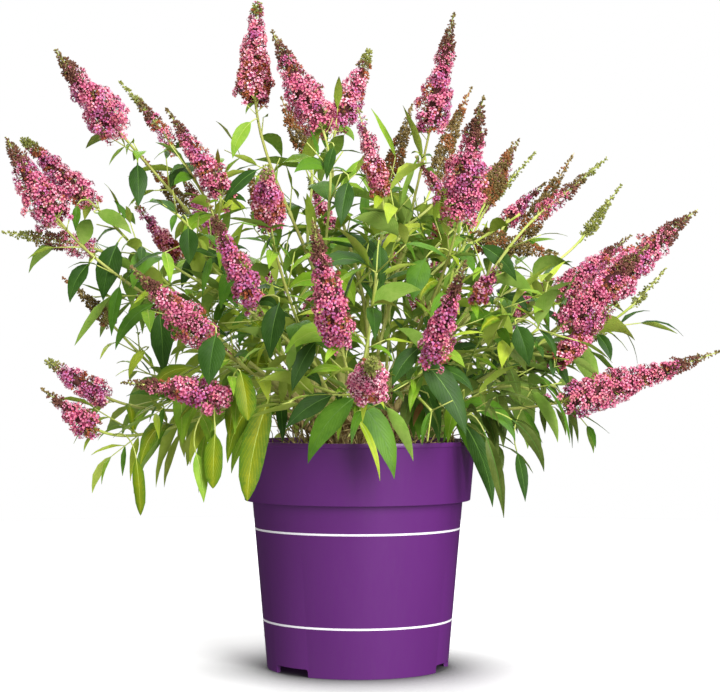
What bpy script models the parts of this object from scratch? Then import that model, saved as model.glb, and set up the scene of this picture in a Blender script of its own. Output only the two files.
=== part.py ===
"""Butterfly bush growing in its nursery pot.

A bushy shrub: one low woody crown in the potting mix, slender canes that rise and arch out of it, and
at the tip of each cane a mass of leafy shoots that end in long cone-shaped flower spikes. The pot is
round and tapered, with a deep band under its rim and three notches in its foot.
Sizes are metres. +Z is up, the origin is on the pot's axis at the ground, and the front is -Y.
"""

import math
import random

import bmesh
import bpy
from mathutils import Matrix, Vector
from mathutils.bvhtree import BVHTree
from mathutils.geometry import interpolate_bezier
from mathutils.kdtree import KDTree

UP = Vector((0, 0, 1))
CLEARANCE = 0.0003

# The pot
POT_STEPS = 36
POT_HEIGHT = 0.220
RIM_RADIUS = 0.116
LIP_HEIGHT = 0.0045
LIP_PROUD = 0.0012
BAND_HEIGHT = 0.058
BAND_FOOT_RADIUS = 0.110
BODY_TOP_RADIUS = 0.1025
BODY_FOOT_RADIUS = 0.088
WALL = 0.0016
FOOT_RING_WIDTH = 0.004
FLOOR_RISE = 0.009
FLOOR_THICKNESS = 0.002
NOTCH_WIDTH = 0.044
NOTCH_HEIGHT = 0.0075
NOTCH_BEARINGS = (222, 342, 102)

# The potting mix
MIX_DEPTH_BELOW_RIM = 0.017
MIX_FLAT_RADIUS = 0.042
MIX_RIPPLE = 0.003

# The woody crown that every cane comes out of
KNUCKLE_RADIUS = 0.026
KNUCKLE_RISE = 0.006
FLARE_RADIUS = 0.037
TIERS = ((4, 20), (8, 46), (9, 71))

# The canes, and the stems of the masses
CANE_RADII = (0.0048, 0.0032)
CANE_SIDES = 6
CANE_SECTION = 0.025
CANE_REACH = 0.32
LOWEST_FORK = 0.246
LEADER_RADII = (0.0029, 0.0017)
SHOOT_RADII = (0.0025, 0.0017)
STEM_SIDES = 3
STEM_SECTION = 0.050

# Flower spikes, one row each, in lists that share a cane. Each row gives the tip of the spike, the
# heading round the plant and the rise above level that it points to, its length and its girth.
FRONT_SPIKES = (
    (
        (-0.285, -0.090, 0.585, 235, 35, 0.105, 0.045),
        (-0.240, 0.060, 0.585, 140, 45, 0.105, 0.018),
        (-0.190, 0.020, 0.550, 140, 50, 0.120, 0.026),
    ),
    (
        (-0.348, 0.000, 0.515, 150, 50, 0.105, 0.036),
        (-0.340, 0.060, 0.520, 145, 35, 0.110, 0.032),
        (-0.345, -0.020, 0.425, 200, 10, 0.090, 0.026),
    ),
    (
        (-0.220, 0.080, 0.510, 155, 50, 0.080, 0.020),
        (-0.230, 0.110, 0.460, 135, 40, 0.090, 0.022),
    ),
    (
        (-0.200, -0.200, 0.375, 230, 30, 0.110, 0.036),
        (-0.205, -0.200, 0.280, 215, 10, 0.105, 0.032),
    ),
    (
        (-0.295, -0.060, 0.295, 200, 30, 0.065, 0.022),
        (-0.290, -0.110, 0.270, 215, 35, 0.065, 0.020),
        (-0.285, -0.020, 0.380, 195, 45, 0.065, 0.018),
    ),
    (
        (-0.105, 0.050, 0.660, 95, 65, 0.115, 0.038),
        (-0.085, -0.020, 0.615, 140, 55, 0.115, 0.042),
        (-0.080, 0.060, 0.565, 160, 60, 0.060, 0.025),
    ),
    (
        (0.015, 0.090, 0.615, 50, 55, 0.095, 0.032),
        (0.000, -0.080, 0.535, 230, 65, 0.085, 0.024),
        (0.055, -0.020, 0.495, 230, 35, 0.050, 0.016),
    ),
    (
        (0.095, 0.000, 0.640, 320, 75, 0.115, 0.038),
        (0.060, 0.130, 0.570, 55, 60, 0.100, 0.024),
        (0.115, 0.100, 0.585, 40, 65, 0.110, 0.025),
    ),
    (
        (0.110, -0.150, 0.535, 285, 60, 0.120, 0.046),
        (0.160, 0.060, 0.520, 30, 60, 0.070, 0.025),
        (0.185, 0.110, 0.515, 40, 40, 0.080, 0.010),
    ),
    (
        (0.215, 0.020, 0.505, 25, 50, 0.080, 0.020),
        (0.245, -0.010, 0.495, 30, 35, 0.100, 0.018),
        (0.270, 0.080, 0.480, 30, 50, 0.070, 0.014),
        (0.190, 0.060, 0.480, 35, 40, 0.065, 0.020),
    ),
    (
        (0.325, -0.020, 0.450, 10, 55, 0.090, 0.026),
        (0.270, -0.090, 0.410, 345, 45, 0.100, 0.040),
        (0.310, 0.040, 0.390, 15, 45, 0.050, 0.010),
        (0.265, 0.060, 0.360, 25, 35, 0.090, 0.020),
    ),
    ((0.353, 0.000, 0.300, 20, 20, 0.170, 0.038),),
    (
        (-0.080, -0.200, 0.465, 270, 30, 0.080, 0.032),
        (-0.135, -0.190, 0.435, 235, 50, 0.110, 0.030),
    ),
    (
        (-0.040, -0.270, 0.415, 250, 55, 0.125, 0.036),
        (0.010, -0.330, 0.290, 270, 10, 0.110, 0.036),
    ),
    (
        (0.090, -0.230, 0.380, 290, 50, 0.105, 0.030),
        (0.130, -0.120, 0.385, 295, 35, 0.055, 0.018),
        (0.195, -0.040, 0.400, 340, -10, 0.060, 0.020),
    ),
)

# The back of the crown: masses at even bearings, each with spikes at three levels. A level gives the
# reach from the pot's axis, the height, the rise, the length and the girth of its spikes, and a turn
# sets each level a little to one side of its mass's bearing.
BACK_MASSES = 6
BACK_BEARINGS = (30, 140)
BACK_LEVELS = (
    (0.348, 0.420, 35, 0.120, 0.038),
    (0.220, 0.520, 55, 0.110, 0.034),
    (0.300, 0.310, 15, 0.105, 0.032),
)
BACK_TURNS = (0, 7, -8)

# Leafy shoots with no flowers: a skirt that hangs round the rim, and a filling inside the crown
SKIRT_SHOOTS = 16
SKIRT_REACH = (0.150, 0.200)
SKIRT_HEIGHT = (0.245, 0.275)
SKIRT_RISE = -20
FILL_SHOOTS = 18
FILL_REACH = (0.090, 0.220)
FILL_HEIGHT = (0.290, 0.440)
FILL_RISE = 35
GOLDEN_TURN = 0.382

# Where side shoots leave their leader, as shares of its length, and the room that stems keep
FIRST_FORK = 0.15
NEXT_FORK = 0.17
LEAFY_FORK = 0.06
SPIKE_SINK = 0.010
STEM_ROOM = 0.0012
STEM_TRIES = 8

# Leaves, in opposite pairs that turn a quarter from each joint of a stem to the next
LEAF_STEP = 0.038
FIRST_LEAF = 0.022
LEAF_LENGTH = 0.112
LEAF_LENGTH_AT_SPIKE = 0.060
LEAF_GROWS_OVER = 0.130
LEAF_WIDTH = 0.36
LEAF_FOLD = 0.040
LEAF_SINK = 0.0008
LEAF_LEAN = (45, 65)
LEAF_DROOP = (35, 80)
LEAF_ROLL = 30
LEAF_TRIES = 6
LEAF_ROOM = 0.0010

# The space that leaves may fill
OWN_SPACE_MARGIN = 0.020
SPACE_STEP = 0.020
LOWEST_LEAF = 0.150
WIDEST_LEAF = 0.345
DEEPEST_LEAF = 0.328

LEAF_GREEN = (0.075, 0.170, 0.020, 1)
BLOSSOM_PINK = (0.560, 0.080, 0.260, 1)
CANE_BROWN = (0.230, 0.150, 0.075, 1)
MIX_BROWN = (0.045, 0.028, 0.018, 1)
POT_PURPLE = (0.140, 0.023, 0.240, 1)


def clear_scene():
    for obj in list(bpy.data.objects):
        bpy.data.objects.remove(obj, do_unlink=True)


def finish(name, colour, roughness):
    material = bpy.data.materials.new(name)
    material.use_nodes = True
    shader = material.node_tree.nodes["Principled BSDF"]
    shader.inputs["Base Color"].default_value = colour
    shader.inputs["Roughness"].default_value = roughness
    shader.inputs["Metallic"].default_value = 0
    material.diffuse_color = colour
    return material


def add_object(name, mesh, material, smooth_angle=None):
    obj = bpy.data.objects.new(name, mesh)
    bpy.context.scene.collection.objects.link(obj)
    mesh.materials.append(material)
    if smooth_angle:
        mesh.shade_smooth()
        mesh.set_sharp_from_angle(angle=math.radians(smooth_angle))
    return obj


def solid_mesh(name, verts, faces):
    mesh = bpy.data.meshes.new(name)
    mesh.from_pydata([tuple(v) for v in verts], [], faces)
    mesh.update()
    return mesh


def turned_mesh(name, profile, steps):
    """A closed round shape: the profile of radius and height starts and ends on the axis."""
    bm = bmesh.new()
    verts = [bm.verts.new((radius, 0, height)) for radius, height in profile]
    edges = [bm.edges.new(pair) for pair in zip(verts, verts[1:])]
    bmesh.ops.spin(
        bm, geom=verts + edges, cent=(0, 0, 0), axis=UP, angle=math.tau, steps=steps
    )
    bmesh.ops.remove_doubles(bm, verts=bm.verts, dist=1e-6)
    bmesh.ops.recalc_face_normals(bm, faces=bm.faces)
    mesh = bpy.data.meshes.new(name)
    bm.to_mesh(mesh)
    bm.free()
    return mesh


def body_radius(height):
    """The outside of the pot's tapered body."""
    share = height / (POT_HEIGHT - BAND_HEIGHT)
    return BODY_FOOT_RADIUS + (BODY_TOP_RADIUS - BODY_FOOT_RADIUS) * share


def make_pot(material):
    band_foot = POT_HEIGHT - BAND_HEIGHT
    foot_inside = BODY_FOOT_RADIUS - FOOT_RING_WIDTH
    floor_top = FLOOR_RISE + FLOOR_THICKNESS
    lip_foot = POT_HEIGHT - LIP_HEIGHT
    profile = (
        (0, FLOOR_RISE),
        (foot_inside, FLOOR_RISE),
        (foot_inside, 0),
        (BODY_FOOT_RADIUS, 0),
        (BODY_TOP_RADIUS, band_foot),
        (BAND_FOOT_RADIUS, band_foot),
        (RIM_RADIUS - LIP_PROUD, lip_foot),
        (RIM_RADIUS, lip_foot),
        (RIM_RADIUS, POT_HEIGHT),
        (RIM_RADIUS - LIP_PROUD - WALL, POT_HEIGHT),
        (BAND_FOOT_RADIUS - WALL, band_foot + WALL),
        (BODY_TOP_RADIUS - WALL, band_foot + WALL),
        (body_radius(floor_top) - WALL, floor_top),
        (0, floor_top),
    )
    pot = add_object("pot", turned_mesh("pot", profile, POT_STEPS), material, 30)
    for bearing in NOTCH_BEARINGS:
        cut_notch(pot, math.radians(bearing))
    return pot


def cut_notch(pot, bearing):
    """A block through the foot ring takes out a low notch."""
    bm = bmesh.new()
    bmesh.ops.create_cube(bm, size=1)
    length = 4 * FOOT_RING_WIDTH
    bmesh.ops.scale(bm, verts=bm.verts, vec=(length, NOTCH_WIDTH, 2 * NOTCH_HEIGHT))
    bmesh.ops.translate(bm, verts=bm.verts, vec=(BODY_FOOT_RADIUS, 0, 0))
    bmesh.ops.rotate(
        bm, verts=bm.verts, cent=(0, 0, 0), matrix=Matrix.Rotation(bearing, 3, "Z")
    )
    mesh = bpy.data.meshes.new("notch")
    bm.to_mesh(mesh)
    bm.free()
    cutter = bpy.data.objects.new("notch", mesh)
    bpy.context.scene.collection.objects.link(cutter)
    cutter.hide_render = True
    cutter.display_type = "WIRE"
    cut = pot.modifiers.new("notch", "BOOLEAN")
    cut.operation = "DIFFERENCE"
    cut.object = cutter


def make_potting_mix(material):
    """Fills the pot, a hair clear of its wall, with a rippled top that is flat under the plant."""
    band_foot = POT_HEIGHT - BAND_HEIGHT
    top = POT_HEIGHT - MIX_DEPTH_BELOW_RIM
    bottom = FLOOR_RISE + FLOOR_THICKNESS + CLEARANCE
    inset = WALL + CLEARANCE * 2
    step = band_foot + inset
    share = (top - band_foot) / (BAND_HEIGHT - LIP_HEIGHT)
    rim_inside = RIM_RADIUS - LIP_PROUD
    top_radius = BAND_FOOT_RADIUS + (rim_inside - BAND_FOOT_RADIUS) * share - inset
    profile = (
        (0, bottom),
        (body_radius(bottom) - inset, bottom),
        (BODY_TOP_RADIUS - inset, step),
        (BAND_FOOT_RADIUS - inset, step),
        (top_radius, top),
        (top_radius * 0.7, top),
        (MIX_FLAT_RADIUS, top),
        (0, top),
    )
    mesh = turned_mesh("potting_mix", profile, POT_STEPS)
    draw = random.Random(7)
    for vert in mesh.vertices:
        out = vert.co.xy.length
        if vert.co.z > top - CLEARANCE and MIX_FLAT_RADIUS + CLEARANCE < out < top_radius - CLEARANCE:
            vert.co.z += draw.uniform(-1, 1) * MIX_RIPPLE
    return add_object("potting_mix", mesh, material)


def make_root_crown(material):
    """A low woody knuckle with a flare at its foot, cut flat where it sits on the mix."""
    foot = POT_HEIGHT - MIX_DEPTH_BELOW_RIM + CLEARANCE
    middle = foot + KNUCKLE_RISE
    dome = [
        (KNUCKLE_RADIUS * math.cos(angle), middle + KNUCKLE_RADIUS * math.sin(angle))
        for angle in (math.radians(step * 18) for step in range(5))
    ]
    profile = (
        (0, foot),
        (FLARE_RADIUS, foot),
        (FLARE_RADIUS * 0.85, foot + KNUCKLE_RISE * 0.4),
        *dome,
        (0, middle + KNUCKLE_RADIUS),
    )
    add_object("root_crown", turned_mesh("root_crown", profile, 20), material, 40)
    return Vector((0, 0, middle))


class Limb:
    """A tapering limb along a smooth curve that leaves and arrives in given directions."""

    def __init__(self, start, leave, end, arrive, radii, section):
        points = arch(start, leave, end, arrive, section)
        last = len(points) - 1
        thick, thin = radii
        self.points = points
        self.radii = [thick + (thin - thick) * i / last for i in range(last + 1)]
        middles = [(b - a).normalized() for a, b in zip(points, points[2:])]
        self.tangents = [leave, *middles, arrive]
        self.sides = []
        side = UP.cross(leave)
        if side.length < 1e-6:
            side = Vector((1, 0, 0))
        for tangent in self.tangents:
            side = (side - tangent * side.dot(tangent)).normalized()
            self.sides.append(side)
        self.marks = [0]
        for a, b in zip(points, points[1:]):
            self.marks.append(self.marks[-1] + (b - a).length)
        self.length = self.marks[-1]

    def at(self, distance):
        """The point, direction and side at a distance along the limb."""
        i = 0
        while i < len(self.marks) - 2 and self.marks[i + 1] < distance:
            i += 1
        share = (distance - self.marks[i]) / (self.marks[i + 1] - self.marks[i])
        point = self.points[i].lerp(self.points[i + 1], share)
        tangent = (self.points[i + 1] - self.points[i]).normalized()
        side = self.sides[i]
        side = (side - tangent * side.dot(tangent)).normalized()
        return point, tangent, side

    def shape(self, corners):
        """Corner points and faces of the closed tapering tube."""
        verts = []
        for point, radius, tangent, side in zip(
            self.points, self.radii, self.tangents, self.sides
        ):
            across = tangent.cross(side)
            for corner in range(corners):
                turn = math.tau * corner / corners
                out = side * math.cos(turn) + across * math.sin(turn)
                verts.append(point + out * radius)
        return verts, tube_faces(len(self.points), corners)


def tube_faces(rings, corners):
    faces = [tuple(reversed(range(corners)))]
    for ring in range(rings - 1):
        here = ring * corners
        for corner in range(corners):
            after = (corner + 1) % corners
            faces.append(
                (here + corner, here + after, here + corners + after, here + corners + corner)
            )
    faces.append(tuple(range((rings - 1) * corners, rings * corners)))
    return faces


def arch(start, leave, end, arrive, section):
    """Points of a smooth curve that leaves and arrives in given directions."""
    reach = (end - start).length
    pull = reach * 0.36
    count = max(3, round(reach / section)) + 1
    return interpolate_bezier(start, start + leave * pull, end - arrive * pull, end, count)


def direction(heading, rise):
    heading = math.radians(heading)
    rise = math.radians(rise)
    return Vector(
        (
            math.cos(heading) * math.cos(rise),
            math.sin(heading) * math.cos(rise),
            math.sin(rise),
        )
    )


def spike_shape(base, along, length, girth):
    """A cone of blossom: full near its foot, tapering to a point, lumpy where the flowers cluster."""
    corners = 6 if girth > 0.024 else 5
    levels = ((0, 0.6), (0.2, 1.0), (0.5, 0.84), (0.78, 0.48))
    side = along.orthogonal().normalized()
    across = along.cross(side)
    verts = []
    for ring, (share, fullness) in enumerate(levels):
        for corner in range(corners):
            turn = math.tau * (corner + ring / 2) / corners
            out = side * math.cos(turn) + across * math.sin(turn)
            verts.append(base + along * length * share + out * fullness * girth / 2)
    verts.append(base + along * length)
    faces = tube_faces(len(levels), corners)
    faces.pop()
    tip = len(verts) - 1
    ring = tip - corners
    faces += [(ring + c, ring + (c + 1) % corners, tip) for c in range(corners)]
    return verts, faces


def leaf_line(root, out, length, droop, steps):
    """The middle line of a leaf that sets off along out and bends down by the droop in degrees."""
    swing = out.cross(-UP)
    if swing.length < 1e-4:
        swing = Vector((1, 0, 0))
    swing.normalize()
    hang = out.angle(-UP)
    bend = min(math.radians(droop), hang * 0.9)
    points = [root.copy()]
    for step in range(steps):
        turned = Matrix.Rotation(bend * (step + 0.5) / steps, 3, swing) @ out
        points.append(points[-1] + turned * length / steps)
    return points, swing


def leaf_shape(root, out, length, droop, roll):
    """A lance-shaped leaf folded along its keel: a pointed root, a wide middle and a tip."""
    points, swing = leaf_line(root, out, length, droop, 5)
    middle = points[2]
    tip = points[5]
    run = (tip - root).normalized()
    wide = Matrix.Rotation(math.radians(roll), 3, run) @ swing
    wide = (wide - run * wide.dot(run)).normalized()
    keel = run.cross(wide)
    if keel.z > 0:
        wide, keel = -wide, -keel
    half = length * LEAF_WIDTH / 2
    fold = length * LEAF_FOLD / 2
    verts = [
        root - out * LEAF_SINK,
        middle + wide * half - keel * fold,
        middle - wide * half - keel * fold,
        middle + keel * fold,
        tip,
    ]
    return verts, [(0, 1, 2), (0, 2, 3), (0, 3, 1), (1, 4, 2), (2, 4, 3), (3, 4, 1)]


def swollen(verts, faces, gap):
    """The same corner points pushed out by the gap, square to the faces that meet there."""
    pushes = [Vector() for _ in verts]
    for face in faces:
        a, b, c = (verts[i] for i in face[:3])
        normal = (b - a).cross(c - a).normalized()
        for i in face:
            pushes[i] += normal
    return [vert + push.normalized() * gap for vert, push in zip(verts, pushes)]


class Solid:
    """One closed shape with its box and its search tree, to find what it touches."""

    def __init__(self, verts, faces):
        self.verts = verts
        self.faces = faces
        self.tree = BVHTree.FromPolygons(verts, faces)
        self.low = Vector([min(vert[i] for vert in verts) for i in range(3)])
        self.high = Vector([max(vert[i] for vert in verts) for i in range(3)])

    def is_near(self, other, gap):
        return all(
            self.low[i] - gap < other.high[i] and other.low[i] - gap < self.high[i]
            for i in range(3)
        )

    def touches(self, others, gap, spared):
        """Whether this comes within the gap of any of the others, apart from those spared."""
        rivals = [other for other in others if other not in spared and self.is_near(other, gap)]
        if not rivals:
            return False
        grown = BVHTree.FromPolygons(swollen(self.verts, self.faces, gap), self.faces)
        return any(grown.overlap(rival.tree) for rival in rivals)


def solid_of(obj):
    graph = bpy.context.evaluated_depsgraph_get()
    mesh = obj.evaluated_get(graph).to_mesh()
    verts = [vert.co.copy() for vert in mesh.vertices]
    return Solid(verts, [tuple(face.vertices) for face in mesh.polygons])


class Spike:
    """One flower spike: the tip, the direction, the length and the girth."""

    def __init__(self, tip, along, length, girth):
        self.along = along
        self.length = length
        self.girth = girth
        self.foot = tip - along * length

    def stem_end(self):
        return self.foot + self.along * SPIKE_SINK


class Shoot:
    """A leafy stem, with a flower spike at its end or none."""

    def __init__(self, limb, spike):
        self.limb = limb
        self.spike = spike
        self.solid = Solid(*limb.shape(STEM_SIDES))


class Mass:
    """What grows from the tip of one cane: a leader, its side shoots, their spikes and leaves."""

    def __init__(self, number, spikes):
        self.number = number
        self.spikes = spikes
        self.middle = sum((spike.foot for spike in spikes), Vector()) / len(spikes)
        self.cane = None
        self.shoots = []
        self.blossom = []
        self.leaves = []
        self.own_space = None


def front_spikes():
    return [
        [Spike(Vector((x, y, z)), direction(heading, rise), *size) for x, y, z, heading, rise, *size in rows]
        for rows in FRONT_SPIKES
    ]


def back_spikes():
    """Three spikes to each mass, one at each level, a little uneven."""
    draw = random.Random(11)
    first, last = BACK_BEARINGS
    masses = []
    for i in range(BACK_MASSES):
        bearing = first + (last - first) * i / (BACK_MASSES - 1)
        spikes = []
        for turn, (reach, height, rise, length, girth) in zip(BACK_TURNS, BACK_LEVELS):
            heading = bearing + turn + draw.uniform(-3, 3)
            out = direction(heading, 0) * reach * draw.uniform(0.94, 1.0)
            tip = out + UP * (height + draw.uniform(-0.03, 0.02))
            along = direction(heading + draw.uniform(-15, 15), rise + draw.uniform(-8, 8))
            length *= draw.uniform(0.8, 1.1)
            spikes.append(Spike(tip, along, length, girth * draw.uniform(0.7, 1.05)))
        masses.append(spikes)
    return masses


def bearing_of(mass):
    return math.degrees(math.atan2(mass.middle.y, mass.middle.x))


def cane_starts(masses, knuckle):
    """Deals the canes out to rings of places on the knuckle: the most upright on top, each ring even."""
    waiting = sorted(masses, key=lambda mass: (mass.middle - knuckle).angle(UP))
    starts = {}
    for count, lean in TIERS:
        ring = sorted(waiting[:count], key=bearing_of)
        waiting = waiting[count:]
        even = 360 / len(ring)
        turn = sum(bearing_of(mass) - place * even for place, mass in enumerate(ring)) / len(ring)
        for place, mass in enumerate(ring):
            starts[mass] = direction(turn + place * even, 90 - lean)
    return starts


def grow_cane(mass, leave, knuckle):
    """A cane curves out of the knuckle and up to where its mass begins."""
    fork = knuckle.lerp(mass.middle, CANE_REACH)
    fork.z = max(fork.z, LOWEST_FORK)
    start = knuckle + leave * (KNUCKLE_RADIUS + CLEARANCE)
    arrive = (mass.middle - fork).normalized()
    return Limb(start, leave, fork, arrive, CANE_RADII, CANE_SECTION)


def grow_leader(mass, solids):
    """The main stem of a mass, in line with its cane and a hair clear of it, up into its first spike."""
    spike = mass.spikes[0]
    leave = mass.cane.tangents[-1]
    start = mass.cane.points[-1] + leave * CLEARANCE
    limb = Limb(start, leave, spike.stem_end(), spike.along, LEADER_RADII, STEM_SECTION)
    shoot = Shoot(limb, spike)
    mass.shoots.append(shoot)
    solids.append(shoot.solid)


def grow_side_shoot(mass, share, end, arrive, spike, solids, draw):
    """A stem that leaves the leader at a share of its length, where it finds a way clear of the rest."""
    leader = mass.shoots[0]
    for attempt in range(STEM_TRIES):
        start, tangent, _ = leader.limb.at(leader.limb.length * share)
        sway = Vector([draw.uniform(-1, 1) for _ in range(3)]) * 0.15 * attempt
        leave = (tangent * 0.5 + (end - start).normalized() * 0.6 + sway).normalized()
        limb = Limb(start, leave, end, arrive, SHOOT_RADII, STEM_SECTION)
        shoot = Shoot(limb, spike)
        if not shoot.solid.touches(solids, STEM_ROOM, [leader.solid]):
            mass.shoots.append(shoot)
            solids.append(shoot.solid)
            return True
        share = min(0.9, share + 0.04)
    return False


def leafy_ends(draw):
    """Where the leafy shoots end and which way they point: the skirt, then the filling."""
    ends = []
    for i in range(SKIRT_SHOOTS):
        bearing = 360 * (i + draw.uniform(-0.3, 0.3)) / SKIRT_SHOOTS
        out = direction(bearing, 0) * draw.uniform(*SKIRT_REACH)
        ends.append((out + UP * draw.uniform(*SKIRT_HEIGHT), direction(bearing, SKIRT_RISE)))
    for i in range(FILL_SHOOTS):
        bearing = 360 * GOLDEN_TURN * i
        out = direction(bearing, 0) * draw.uniform(*FILL_REACH)
        ends.append((out + UP * draw.uniform(*FILL_HEIGHT), direction(bearing, FILL_RISE)))
    return ends


def grow_leafy_shoots(masses, solids):
    """Each leafy shoot grows from the nearest of the masses that has room for it."""
    draw = random.Random(23)
    for end, arrive in leafy_ends(draw):
        nearest = sorted(masses, key=lambda mass: (mass.cane.points[-1] - end).length)
        for mass in nearest[:3]:
            if grow_side_shoot(mass, LEAFY_FORK, end, arrive, None, solids, draw):
                break


def grow_blossom(mass, solids):
    for shoot in mass.shoots:
        if shoot.spike:
            spike = shoot.spike
            solid = Solid(*spike_shape(spike.foot, spike.along, spike.length, spike.girth))
            mass.blossom.append(solid)
            solids.append(solid)


def space_of(mass):
    """A search tree of points all along a mass's stems and spikes, from which its space is told."""
    points = []
    for shoot in mass.shoots:
        count = max(2, int(shoot.limb.length / SPACE_STEP))
        points += [shoot.limb.at(shoot.limb.length * i / count)[0] for i in range(count + 1)]
        if shoot.spike:
            points += [shoot.spike.foot + shoot.spike.along * shoot.spike.length * i / 4 for i in (1, 2, 3)]
    tree = KDTree(len(points))
    for i, point in enumerate(points):
        tree.insert(point, i)
    tree.balance()
    return tree


def in_own_space(point, mass, masses):
    """Whether the point is nearer to the mass's own stems than to another's, or nearly so."""
    own = mass.own_space.find(point)[2]
    return all(
        rival is mass or rival.own_space.find(point)[2] > own - OWN_SPACE_MARGIN
        for rival in masses
    )


def in_reach(point):
    return point.z > LOWEST_LEAF and abs(point.x) < WIDEST_LEAF and abs(point.y) < DEEPEST_LEAF


def grow_leaves(mass, masses, solids):
    """Opposite pairs of leaves all along each shoot, from its end down to near its root."""
    for place, shoot in enumerate(mass.shoots):
        draw = random.Random(1000 * mass.number + place)
        turn = draw.uniform(0, 360)
        distance = shoot.limb.length - (1.6 * SPIKE_SINK if shoot.spike else LEAF_SINK)
        while distance > FIRST_LEAF:
            pair = []
            for mate in (0, 180):
                leaf = grow_leaf(shoot, distance, turn + mate, mass, masses, solids, pair, draw)
                if leaf:
                    pair.append(leaf)
            solids += pair
            mass.leaves += pair
            turn += 90
            distance -= LEAF_STEP * draw.uniform(0.85, 1.15)


def grow_leaf(shoot, distance, turn, mass, masses, solids, pair, draw):
    """One leaf, small near a spike. It is skipped where nothing it tries keeps to its own space."""
    root, tangent, side = shoot.limb.at(distance)
    size = (shoot.limb.length - distance) / LEAF_GROWS_OVER + (0 if shoot.spike else 0.4)
    size = min(1, size)
    full = LEAF_LENGTH_AT_SPIKE + (LEAF_LENGTH - LEAF_LENGTH_AT_SPIKE) * size
    for attempt in range(LEAF_TRIES):
        spin = math.radians(turn + draw.uniform(-12, 12) * (1 + attempt))
        around = side * math.cos(spin) + tangent.cross(side) * math.sin(spin)
        lean = math.radians(draw.uniform(*LEAF_LEAN))
        out = tangent * math.cos(lean) + around * math.sin(lean)
        droop = draw.uniform(*LEAF_DROOP) + 25 * size
        roll = draw.uniform(-LEAF_ROLL, LEAF_ROLL)
        length = full * draw.uniform(0.85, 1.12) * (1 - 0.12 * attempt)
        line, _ = leaf_line(root, out, length, droop, 5)
        if not all(in_reach(point) and in_own_space(point, mass, masses) for point in line[3:]):
            continue
        leaf = Solid(*leaf_shape(root, out, length, droop, roll))
        if not leaf.touches(solids, LEAF_ROOM, [shoot.solid, *pair]):
            return leaf
    return None


def fuse(mass, leaf_green, blossom_pink):
    """Joins a mass's stems, leaves and spikes into one closed body by a single union."""
    name = f"foliage_{mass.number:02d}"
    greens = [shoot.solid for shoot in mass.shoots] + mass.leaves
    whole = add_object(name, solid_mesh(name, greens[0].verts, greens[0].faces), leaf_green)
    others = bpy.data.collections.new(name)
    bpy.context.scene.collection.children.link(others)
    finished = [(solid, leaf_green) for solid in greens[1:]]
    finished += [(solid, blossom_pink) for solid in mass.blossom]
    for solid, material in finished:
        mesh = solid_mesh("piece", solid.verts, solid.faces)
        mesh.materials.append(material)
        others.objects.link(bpy.data.objects.new("piece", mesh))
    join = whole.modifiers.new("join", "BOOLEAN")
    join.operation = "UNION"
    join.operand_type = "COLLECTION"
    join.collection = others
    join.material_mode = "TRANSFER"
    joined = evaluated_mesh(whole)
    if not is_closed(joined):
        join.solver = "MANIFOLD"
        joined = evaluated_mesh(whole)
    whole.modifiers.clear()
    whole.data = joined
    for piece in list(others.objects):
        bpy.data.objects.remove(piece, do_unlink=True)
    bpy.data.collections.remove(others)
    keep_main_body(joined)


def evaluated_mesh(obj):
    graph = bpy.context.evaluated_depsgraph_get()
    return bpy.data.meshes.new_from_object(obj.evaluated_get(graph))


def is_closed(mesh):
    """Whether exactly two faces meet at every edge."""
    bm = bmesh.new()
    bm.from_mesh(mesh)
    closed = all(len(edge.link_faces) == 2 for edge in bm.edges)
    bm.free()
    return closed


def keep_main_body(mesh):
    """Drops loose scraps and fills sealed hollows: only the shell with the most faces stays."""
    bm = bmesh.new()
    bm.from_mesh(mesh)
    shells = []
    seen = set()
    for first in bm.faces:
        if first in seen:
            continue
        seen.add(first)
        shell = [first]
        for face in shell:
            for edge in face.edges:
                fresh = [other for other in edge.link_faces if other not in seen]
                seen.update(fresh)
                shell += fresh
        shells.append(shell)
    shells.sort(key=len)
    for shell in shells[:-1]:
        bmesh.ops.delete(bm, geom=shell, context="FACES")
    bm.to_mesh(mesh)
    bm.free()


def make_plant(knuckle, planted, bark, leaf_green, blossom_pink):
    """The canes first, then every stem and spike, and the leaves last in the room that is left."""
    masses = [Mass(i + 1, spikes) for i, spikes in enumerate(front_spikes() + back_spikes())]
    solids = [solid_of(obj) for obj in planted]
    for mass, leave in cane_starts(masses, knuckle).items():
        mass.cane = grow_cane(mass, leave, knuckle)
        cane = Solid(*mass.cane.shape(CANE_SIDES))
        solids.append(cane)
        add_object(f"cane_{mass.number:02d}", solid_mesh("cane", cane.verts, cane.faces), bark, 40)
    for mass in masses:
        grow_leader(mass, solids)
    draw = random.Random(5)
    for mass in masses:
        for place, spike in enumerate(mass.spikes[1:]):
            share = FIRST_FORK + NEXT_FORK * place
            grow_side_shoot(mass, share, spike.stem_end(), spike.along, spike, solids, draw)
    for mass in masses:
        grow_blossom(mass, solids)
    grow_leafy_shoots(masses, solids)
    for mass in masses:
        mass.own_space = space_of(mass)
    for mass in masses:
        grow_leaves(mass, masses, solids)
    for mass in masses:
        fuse(mass, leaf_green, blossom_pink)


def main():
    clear_scene()
    bark = finish("cane", CANE_BROWN, 0.8)
    leaf_green = finish("leaf", LEAF_GREEN, 0.55)
    blossom_pink = finish("blossom", BLOSSOM_PINK, 0.7)
    pot = make_pot(finish("pot", POT_PURPLE, 0.4))
    mix = make_potting_mix(finish("potting_mix", MIX_BROWN, 0.95))
    knuckle = make_root_crown(bark)
    make_plant(knuckle, (pot, mix), bark, leaf_green, blossom_pink)


main()
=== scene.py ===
"""Dresses the potted butterfly bush, in the order in which it is put together: the pot, the potting mix,
the woody crown and its canes, the stems, the leaves and the flower spikes, and then the studio.
Sizes are metres. +Z is up, the origin is on the pot's axis at the ground, and the front is -Y.
"""

import math
import random
from collections import namedtuple

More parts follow.
